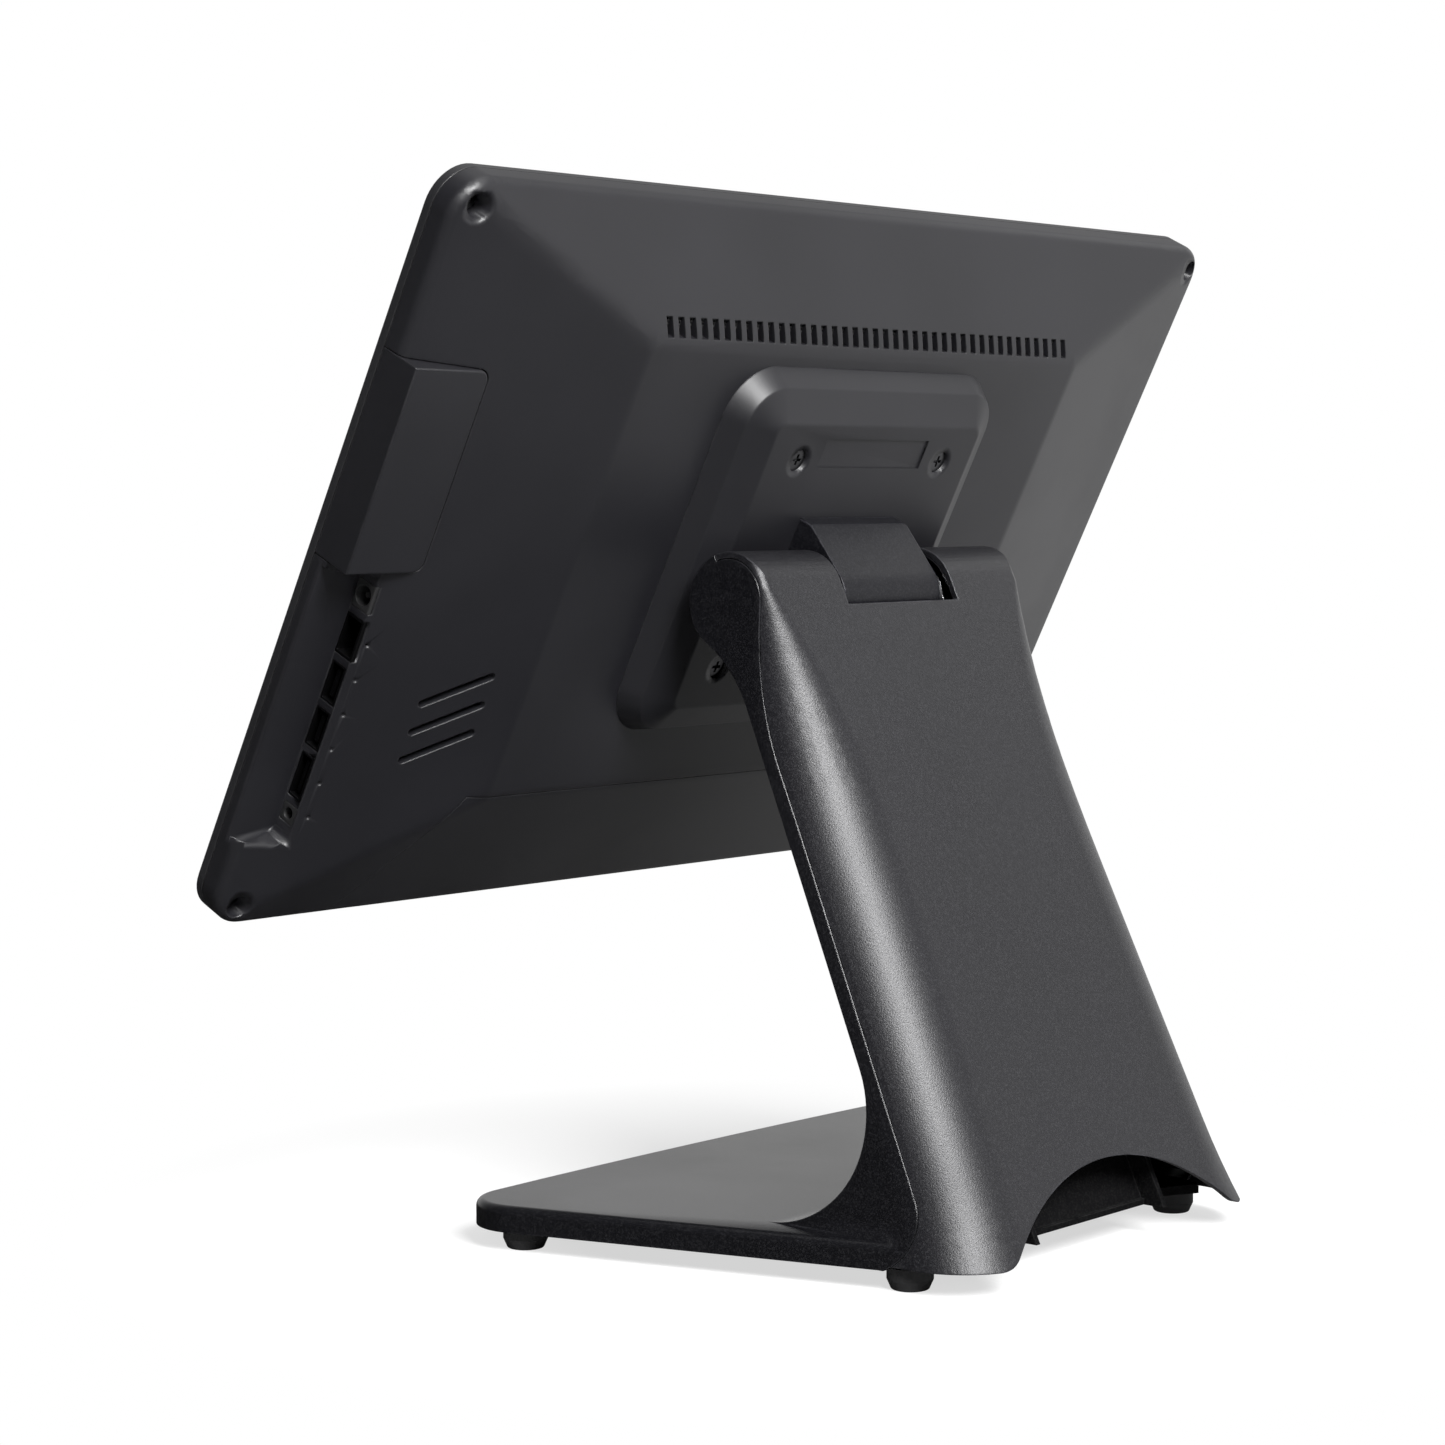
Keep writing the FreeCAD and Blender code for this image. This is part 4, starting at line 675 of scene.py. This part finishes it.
# edge_share 0.9 lightens the tongue's edges and ledge: a painted highlight as well as worn edges.
TONGUE = FlakePaint("tongue_paint", "tongue_paint", (0.005, 0.005, 0.0065), 0.34,
                    flake=(0.012, 0.012, 0.014), metal=0.05, bump=0.2, sheen=0.2,
                    edge_share=0.9)
FRONT = FlakePaint("body_paint", "body_paint", (0.003, 0.003, 0.004), 0.3,
                   flake=(0.01, 0.01, 0.0115), metal=0.1, bump=0.25)
BASE = FlakePaint("base_coat", "base_paint", (0.002, 0.002, 0.0023), 0.7,
                  flake=(0.006, 0.006, 0.006), metal=0.0, sheen=0.05)
ZINC = PlatedMetal("zinc_steel", "zinc_steel", (0.52, 0.52, 0.51), 0.34)
HINGE_STEEL = PlatedMetal("ground_steel", "hinge_steel", (0.42, 0.42, 0.43), 0.3)
PORT_METAL = PlatedMetal("dark_nickel", "port_metal", (0.03, 0.03, 0.032), 0.42)
BLACK_SCREW = PlatedMetal("black_screw", "black_screws", (0.1, 0.1, 0.105), 0.32)
COOLER = PlatedMetal("cooler", "cooler_metal", (0.6, 0.6, 0.61), 0.38)
BRASS = PlatedMetal("brass", "brass_parts", (0.7, 0.52, 0.26), 0.3)
GLASS = ScreenGlass("screen_glass", "screen_glass", (0.001, 0.001, 0.0012), 0.12)
PANEL = MouldedPlastic("panel_back", "panel", (0.012, 0.012, 0.014), 0.2)
RUBBER = SoftRubber("foot_rubber", "foot_rubber", (0.011, 0.011, 0.012), 0.75)
FOAM = SoftRubber("foam_strip", "foam", (0.02, 0.02, 0.02), 0.9)
BOARD = CircuitBoard("circuit_board", "circuit_board", (0.012, 0.07, 0.03), 0.45)
FINISHES = (COVER, PLATE, BEZEL, KEY, DARK, SPEAKER, SHELL, TONGUE, FRONT, BASE, ZINC,
            HINGE_STEEL, PORT_METAL, BLACK_SCREW, COOLER, BRASS, GLASS, PANEL, RUBBER, FOAM,
            BOARD)


# --- Mesh tools -------------------------------------------------------------------------------
MERGE_GAP = 1e-6        # vertices nearer than this are one
SLIVER = 1e-7           # edges shorter than this are dissolved
FACE_WEIGHT = 80        # how far large faces lead the shading


def smooth_copy(node: str, name: str, angle: float) -> bpy.types.Object:
    """Copy a CAD node as one joined skin with smooth curves and crisp edges.

    Args:
        node: CAD node to copy.
        name: Name of the new piece.
        angle: Edges that turn by more than this many degrees stay sharp.

    Returns:
        The new piece, not yet on a body.
    """
    mesh = frame["nodes"][node].data.copy()
    mesh.name = name
    work = bmesh.new()
    work.from_mesh(mesh)
    bmesh.ops.remove_doubles(work, verts=work.verts, dist=MERGE_GAP)
    bmesh.ops.dissolve_degenerate(work, edges=work.edges, dist=SLIVER)
    work.to_mesh(mesh)
    work.free()
    mesh.materials.clear()
    mesh.polygons.foreach_set("use_smooth", [True] * len(mesh.polygons))
    mesh.set_sharp_from_angle(angle=math.radians(angle))
    piece = bpy.data.objects.new(name, mesh)
    bpy.context.scene.collection.objects.link(piece)
    weights = piece.modifiers.new("face weights", "WEIGHTED_NORMAL")
    weights.keep_sharp = True
    weights.weight = FACE_WEIGHT
    return piece


def apply_modifiers(piece: bpy.types.Object) -> None:
    """Turn a piece's modifiers into its plain mesh.

    Args:
        piece: Piece with live modifiers.
    """
    graph = bpy.context.evaluated_depsgraph_get()
    baked = bpy.data.meshes.new_from_object(piece.evaluated_get(graph))
    piece.modifiers.clear()
    piece.data = baked


class Materials:
    """Material of every finish, built once."""

    made: dict[str, bpy.types.Material] = {}

    @classmethod
    def build(cls) -> None:
        """Build every finish."""
        for finish in FINISHES:
            cls.made[finish.name] = finish.build()

    @classmethod
    def put(cls, piece: bpy.types.Object, finish: Finish) -> None:
        """Give a piece one finish in all its slots.

        Args:
            piece: The piece.
            finish: Its finish, already built.
        """
        slots = piece.material_slots
        if not slots:
            piece.data.materials.append(cls.made[finish.name])
        for slot in slots:
            slot.material = cls.made[finish.name]


def settle(piece: bpy.types.Object, finish: Finish, body: Body, *nodes: str) -> None:
    """Finish a piece, put it on its body and hide the CAD nodes it stands for.

    Args:
        piece: The piece.
        finish: Its finish.
        body: Body it rides on.
        *nodes: CAD nodes it replaces.
    """
    Materials.put(piece, finish)
    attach(piece, body.value)
    if nodes:
        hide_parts(*nodes)


# --- Head frame -------------------------------------------------------------------------------
def in_head(x: float, back: float, rise: float) -> Vector:
    """Point given in the head's own directions from the hinge axis.

    Args:
        x: Sideways.
        back: Towards the rear of the head.
        rise: Up along the screen.

    Returns:
        The point in the shared frame.
    """
    return HINGE + Matrix.Rotation(-TILT, 3, "X") @ Vector((x, back, rise))


def head_turn(centre: Vector) -> Matrix:
    """Matrix that lays a level, upright piece into the head.

    Args:
        centre: Where the piece's origin goes.

    Returns:
        The matrix.
    """
    return Matrix.Translation(centre) @ Matrix.Rotation(-TILT, 4, "X")


def middle(node: str) -> Vector:
    """Middle of a CAD node's box.

    Args:
        node: CAD node.

    Returns:
        The point in the shared frame.
    """
    low, high = (Vector(corner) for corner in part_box(node))
    return (low + high) / 2


# --- Repeated details -------------------------------------------------------------------------
@dataclass(frozen=True)
class BarArray:
    """Parallel bars made by one Geometry Nodes tree.

    Attributes:
        name: Piece name.
        count: Number of bars.
        pitch: Step between bars.
        step: Unit direction of the step.
        size: Size of one bar.
        finish: Finish of the bars.
    """

    name: str
    count: int
    pitch: float
    step: tuple[float, float, float]
    size: tuple[float, float, float]
    finish: Finish

    @classmethod
    def tree(cls) -> bpy.types.NodeTree:
        """Node group shared by every array, built on first use.

        Returns:
            The geometry node group.
        """
        ready = bpy.data.node_groups.get("bar_array")
        if ready:
            return ready
        made = bpy.data.node_groups.new("bar_array", "GeometryNodeTree")
        ports = (("Geometry", "Geometry", "OUTPUT"), ("Count", "Int", "INPUT"),
                 ("Start", "Vector", "INPUT"), ("Step", "Vector", "INPUT"),
                 ("Size", "Vector", "INPUT"), ("Finish", "Material", "INPUT"))
        for label, kind, way in ports:
            made.interface.new_socket(label, in_out=way, socket_type=f"NodeSocket{kind}")
        work = Tree(made)
        given = work.node("NodeGroupInput").outputs
        bar = work.node("GeometryNodeMeshCube", inputs={"Size": given["Size"]})
        spots = work.node("GeometryNodeMeshLine", mode="OFFSET", inputs={
            "Count": given["Count"], "Start Location": given["Start"], "Offset": given["Step"]})
        bars = work.node("GeometryNodeInstanceOnPoints", inputs={
            "Points": spots.outputs[0], "Instance": bar.outputs[0]})
        solid = work.node("GeometryNodeRealizeInstances", inputs={0: bars.outputs[0]})
        dressed = work.node("GeometryNodeSetMaterial", inputs={
            "Geometry": solid.outputs[0], "Material": given["Finish"]})
        work.feed(work.node("NodeGroupOutput"), "Geometry", dressed.outputs[0])
        return made

    def mesh(self, place: Matrix) -> bpy.types.Mesh:
        """Evaluate the tree as a plain mesh.

        Args:
            place: Where the middle of the array goes.

        Returns:
            The mesh, in the shared frame.
        """
        holder = bpy.data.objects.new(self.name, bpy.data.meshes.new(self.name))
        bpy.context.scene.collection.objects.link(holder)
        rule = holder.modifiers.new("bars", "NODES")
        rule.node_group = self.tree()
        step = Vector(self.step) * self.pitch
        values = {"Count": self.count, "Start": step * (-(self.count - 1) / 2), "Step": step,
                  "Size": Vector(self.size), "Finish": Materials.made[self.finish.name]}
        for item in rule.node_group.interface.items_tree:
            if item.in_out == "INPUT":
                rule[item.identifier] = values[item.name]
        holder.update_tag()
        apply_modifiers(holder)
        made = holder.data
        bpy.data.objects.remove(holder)
        made.transform(place)
        return made


def join_meshes(name: str, meshes: Sequence[bpy.types.Mesh]) -> bpy.types.Object:
    """One piece from several meshes of one finish.

    Args:
        name: Name of the piece.
        meshes: Meshes in the shared frame.

    Returns:
        The new piece, not yet on a body.
    """
    work = bmesh.new()
    for mesh in meshes:
        work.from_mesh(mesh)
    whole = bpy.data.meshes.new(name)
    work.to_mesh(whole)
    work.free()
    piece = bpy.data.objects.new(name, whole)
    bpy.context.scene.collection.objects.link(piece)
    return piece


@dataclass
class PortContacts:
    """Gilt contact fingers inside the sockets.

    Attributes:
        rows: Node, number of fingers, pitch and offset towards the rear of the head, by row.
        finger: Length, thickness and width of a finger.
    """

    rows: tuple[tuple[str, int, float, float, float], ...] = (
        ("lan_port", 8, 0.00102, 0.0027, 0.0), ("usb_ports", 4, 0.0024, 0.0009, 0.00785),
        ("usb_ports", 4, 0.0024, 0.0009, -0.00785), ("video_port", 10, 0.0011, 0.0007, 0.0))
    finger: tuple[float, float, float] = (0.0085, 0.0003, 0.0005)

    def build(self) -> None:
        """Make every row as one piece."""
        meshes = []
        for node, count, pitch, back, along in self.rows:
            row = BarArray(f"{node}_row", count, pitch, (0.0, 0.0, 1.0), self.finger, BRASS)
            centre = middle(node)
            turn = head_turn(centre)
            meshes.append(row.mesh(turn @ Matrix.Translation((0.0, back, along))))
        settle(join_meshes("port_contacts", meshes), BRASS, Body.DISPLAY)


@dataclass
class DustScreen:
    """Woven screen behind an opening of the rear cover.

    Attributes:
        name: Piece name.
        centre: Its middle: sideways, back and up from the hinge axis.
        width: Size across.
        height: Size along the screen.
        pitch: Step between wires.
        wire: Wire thickness.
    """

    name: str
    centre: tuple[float, float, float]
    width: float
    height: float
    pitch: float = 0.0012
    wire: float = 0.00035

    def build(self) -> None:
        """Weave upright and level wires."""
        across = BarArray("level", round(self.height / self.pitch), self.pitch, (0.0, 0.0, 1.0),
                          (self.width, self.wire, self.wire), DARK)
        upright = BarArray("upright", round(self.width / self.pitch), self.pitch,
                           (1.0, 0.0, 0.0), (self.wire, self.wire, self.height), DARK)
        turn = head_turn(in_head(*self.centre))
        meshes = (across.mesh(turn), upright.mesh(turn))
        settle(join_meshes(self.name, meshes), DARK, Body.DISPLAY)


VENT_SCREEN = DustScreen("vent_screen", centre=(0.0, -0.0328, 0.0785), width=0.216,
                         height=0.0085)


# --- Sub-assemblies ---------------------------------------------------------------------------
@dataclass
class NodeDresser:
    """Finishes of the CAD nodes that keep their own shape."""

    finishes: dict[str, Finish] = field(default_factory=lambda: {
        "front_bezel": BEZEL, "touch_glass": GLASS, "panel_gasket": FOAM, "lcd_panel": PANEL,
        "chassis": ZINC, "board_standoffs": BRASS, "mainboard": BOARD, "heat_sink": COOLER,
        "speakers": SPEAKER, "port_board": BOARD, "power_button": KEY, "button_switch": SPEAKER,
        "housing_screws": BLACK_SCREW, "steel_plate": ZINC, "plate_screws": BLACK_SCREW,
        "head_bracket": HINGE_STEEL, "hinge_shafts": HINGE_STEEL,
        "friction_washers": HINGE_STEEL, "hinge_nuts": ZINC, "audio_jack": DARK,
        "lan_port": PORT_METAL, "power_inlet": DARK, "usb_ports": PORT_METAL,
        "video_port": PORT_METAL, "base_plate": BASE, "foot_weight": ZINC,
        "rubber_feet": RUBBER, "base_screws": ZINC, "spine": BASE,
        "hinge_brackets": HINGE_STEEL, "bracket_screws": ZINC})

    def dress(self) -> None:
        """Give each node its finish."""
        for node, finish in self.finishes.items():
            Materials.put(frame["nodes"][node], finish)
        log.info("dressed %d nodes", len(self.finishes))


@dataclass(frozen=True)
class Skins:
    """Smoothed copies of the CAD nodes that carry one body's outer faces.

    Attributes:
        body: Body the skins ride on.
        angle: Edges that turn by more than this many degrees stay sharp.
        finishes: CAD node and finish of each skin.
    """

    body: Body
    angle: float
    finishes: tuple[tuple[str, Finish], ...]

    def build(self) -> None:
        """Make each skin."""
        for node, finish in self.finishes:
            skin = smooth_copy(node, f"{node}_skin", self.angle)
            apply_modifiers(skin)
            settle(skin, finish, self.body, node)
            log.info("%s: %d faces", skin.name, len(skin.data.polygons))


HEAD_HOUSING = Skins(Body.DISPLAY, 28.0, (
    ("rear_cover", COVER), ("bottom_cover", COVER), ("side_cover", COVER),
    ("plate_cover", PLATE), ("hinge_cover", TONGUE)))
STAND_SKINS = Skins(Body.STAND, 20.0, (("column_shell", SHELL), ("stand_body", FRONT)))


# --- Studio -----------------------------------------------------------------------------------
WHITE = (1.0, 1.0, 1.0, 1.0)


def direction(azimuth: float, elevation: float) -> Vector:
    """Unit vector from the object towards a place round it.

    Args:
        azimuth: Turn round the object, degrees; 0 is the screen's side.
        elevation: Height angle, degrees.

    Returns:
        The direction.
    """
    turn, lift = math.radians(azimuth), math.radians(elevation)
    return Vector((math.sin(turn) * math.cos(lift), -math.cos(turn) * math.cos(lift),
                   math.sin(lift)))


@dataclass(frozen=True)
class Lamp:
    """Square soft lamp that points at the object.

    Attributes:
        name: Lamp name.
        azimuth: Direction round the object, degrees.
        elevation: Height angle, degrees.
        reach: Distance from the object.
        size: Side of the square.
        power: Watts.
        aim_share: Point aimed at, as a share of the way from the origin to the hinge.
    """

    name: str
    azimuth: float
    elevation: float
    reach: float
    size: float
    power: float
    aim_share: float = 0.7

    def build(self) -> None:
        """Place the lamp."""
        away = direction(self.azimuth, self.elevation)
        data = bpy.data.lights.new(self.name, "AREA")
        data.shape = "SQUARE"
        data.size = self.size
        data.energy = self.power
        rig = bpy.data.objects.new(self.name, data)
        bpy.context.scene.collection.objects.link(rig)
        rig.location = HINGE * self.aim_share + away * self.reach
        rig.rotation_euler = (-away).to_track_quat("-Z", "Y").to_euler()


@dataclass(frozen=True)
class Viewpoint:
    """The camera.

    Attributes:
        azimuth: Camera's turn round the object, degrees.
        elevation: Camera's height angle, degrees.
        distance: Camera to hinge along the view.
        aside: Hinge's place right of the view's middle.
        above: Hinge's place above the view's middle.
        lens: Focal length, millimetres.
        sensor: Sensor width, millimetres.
        nearest: Start of the clipping range.
    """

    azimuth: float = 130.19
    elevation: float = 3.93
    distance: float = 1.1105
    aside: float = 0.0457
    above: float = 0.0416
    lens: float = 84.2
    sensor: float = 36.0
    nearest: float = 0.01

    def build(self) -> None:
        """Place the camera."""
        turn = math.radians(self.azimuth)
        back = direction(self.azimuth, self.elevation)
        right = Vector((math.cos(turn), math.sin(turn), 0.0))
        rise = back.cross(right)
        lens = bpy.data.cameras.new("view")
        lens.lens = self.lens
        lens.sensor_width = self.sensor
        lens.clip_start = self.nearest
        rig = bpy.data.objects.new("view", lens)
        bpy.context.scene.collection.objects.link(rig)
        where = HINGE + back * self.distance - right * self.aside - rise * self.above
        facing = Matrix((right, rise, back)).transposed().to_4x4()
        rig.matrix_world = Matrix.Translation(where) @ facing
        bpy.context.scene.camera = rig


def mirror_share(work: Tree) -> bpy.types.NodeSocket:
    """One for rays that are mirrored or go through glass, else nought.

    Args:
        work: Tree of the floor or the world.

    Returns:
        The share socket.
    """
    path = work.node("ShaderNodeLightPath").outputs
    return work.maths("MAXIMUM", path["Is Glossy Ray"], path["Is Transmission Ray"])


@dataclass(frozen=True)
class Surround:
    """World that fades towards +X and overhead, but is white to the camera.

    Attributes:
        across: X of a direction where the fade starts and ends.
        dark_side: Brightness at +X, against white at -X.
        upward: Z of a direction where the overhead fade starts and ends.
        zenith: Brightness overhead, against the horizon.
        ambient: Share of the surround that lights the object softly.
    """

    across: Span = (-0.35, 0.4)
    dark_side: float = 0.07
    upward: Span = (0.12, 0.45)
    zenith: float = 0.5
    ambient: float = 0.25

    def build(self) -> None:
        """Make the world."""
        world = bpy.data.worlds.new("surround")
        bpy.context.scene.world = world
        world.use_nodes = True
        world.node_tree.nodes.clear()
        work = Tree(world.node_tree)
        where = work.node("ShaderNodeTexCoord").outputs["Generated"]
        part = work.node("ShaderNodeSeparateXYZ", inputs={0: where}).outputs
        tone = work.maths("MULTIPLY", work.span(part[0], *self.across, 1.0, self.dark_side),
                          work.span(part[2], *self.upward, 1.0, self.zenith))
        reach = work.span(mirror_share(work), 0.0, 1.0, self.ambient, 1.0)
        soft = work.maths("MULTIPLY", tone, reach)
        path = work.node("ShaderNodeLightPath").outputs
        strength = work.maths("MAXIMUM", soft, path["Is Camera Ray"])
        surround = work.node("ShaderNodeBackground", inputs={"Color": WHITE,
                                                             "Strength": strength})
        out = work.node("ShaderNodeOutputWorld")
        work.feed(out, "Surface", surround.outputs[0])


@dataclass(frozen=True)
class Floor:
    """Round pale floor that keeps a soft shadow near the object.

    Attributes:
        radius: Radius of the disc.
        sides: Corners of the disc.
        tones: Darkest and lightest grey of the floor.
        mottle: Scale of its slow tone changes.
        fade: Distances where the shadow starts to fade and is gone.
        shadow_share: White that is mixed in at the object's own place.
        mirror_across: X where the mirrored tone starts and ends to fall.
        mirror_tones: Brightness in mirrored rays at those two places.
    """

    radius: float = 6.0
    sides: int = 96
    tones: Span = (0.93, 0.96)
    mottle: float = 4.0
    fade: Span = (0.1, 0.26)
    shadow_share: float = 0.65
    mirror_across: Span = (-0.7, 0.05)
    mirror_tones: Span = (0.95, 0.03)

    def build(self) -> None:
        """Make the disc and its material."""
        mesh = bpy.data.meshes.new("floor")
        work = bmesh.new()
        bmesh.ops.create_circle(work, cap_ends=True, radius=self.radius, segments=self.sides)
        work.to_mesh(mesh)
        work.free()
        floor = bpy.data.objects.new("floor", mesh)
        bpy.context.scene.collection.objects.link(floor)
        floor.data.materials.append(self.material())

    def material(self) -> bpy.types.Material:
        """White to the camera away from the object, a fading tone to mirrored rays.

        Returns:
            The new material.
        """
        made = bpy.data.materials.new("pale_floor")
        made.use_nodes = True
        made.node_tree.nodes.clear()
        tree = Tree(made.node_tree)
        grain = tree.node("ShaderNodeTexNoise", inputs={"Scale": self.mottle, "Detail": 2.0})
        darker, lighter = ((tone, tone, tone) for tone in self.tones)
        tone = tree.blend(grain.outputs[0], darker, lighter)
        skin = tree.node("ShaderNodeBsdfDiffuse", inputs={"Color": tone})
        where = tree.node("ShaderNodeTexCoord").outputs["Object"]
        far = tree.node("ShaderNodeVectorMath", operation="LENGTH", inputs={0: where})
        fade = tree.span(far.outputs["Value"], *self.fade, self.shadow_share, 1.0)
        side = tree.node("ShaderNodeSeparateXYZ", inputs={0: where}).outputs[0]
        mirrored_tone = tree.span(side, *self.mirror_across, *self.mirror_tones)
        mirrored = mirror_share(tree)
        camera_ray = tree.node("ShaderNodeLightPath").outputs["Is Camera Ray"]
        seen = tree.maths("MULTIPLY", camera_ray, fade)
        glow = tree.maths("MAXIMUM", camera_ray,
                          tree.maths("MULTIPLY", mirrored, mirrored_tone))
        white = tree.node("ShaderNodeEmission", inputs={"Color": WHITE, "Strength": glow})
        mix = tree.node("ShaderNodeMixShader", inputs={
            0: tree.maths("MAXIMUM", seen, mirrored), 1: skin.outputs[0], 2: white.outputs[0]})
        out = tree.node("ShaderNodeOutputMaterial")
        tree.feed(out, "Surface", mix.outputs[0])
        return made


STUDIO = (
    Floor(), Surround(),
    Lamp("key", azimuth=155.0, elevation=35.0, reach=1.9, size=0.75, power=88.0),
    Lamp("overhead", azimuth=200.0, elevation=76.0, reach=1.8, size=1.3, power=7.0),
    Lamp("far_side", azimuth=262.0, elevation=30.0, reach=1.9, size=0.9, power=2.0),
    Viewpoint())


def main() -> None:
    """Build everything in order."""
    logging.basicConfig(level=logging.INFO, format="%(name)s: %(message)s")
    bpy.context.scene.view_settings.view_transform = "Standard"
    build_groups()
    Materials.build()
    for item in STUDIO:
        item.build()
    NodeDresser().dress()
    for item in (HEAD_HOUSING, STAND_SKINS, PortContacts(), VENT_SCREEN):
        item.build()


if __name__ == "__main__":
    main()
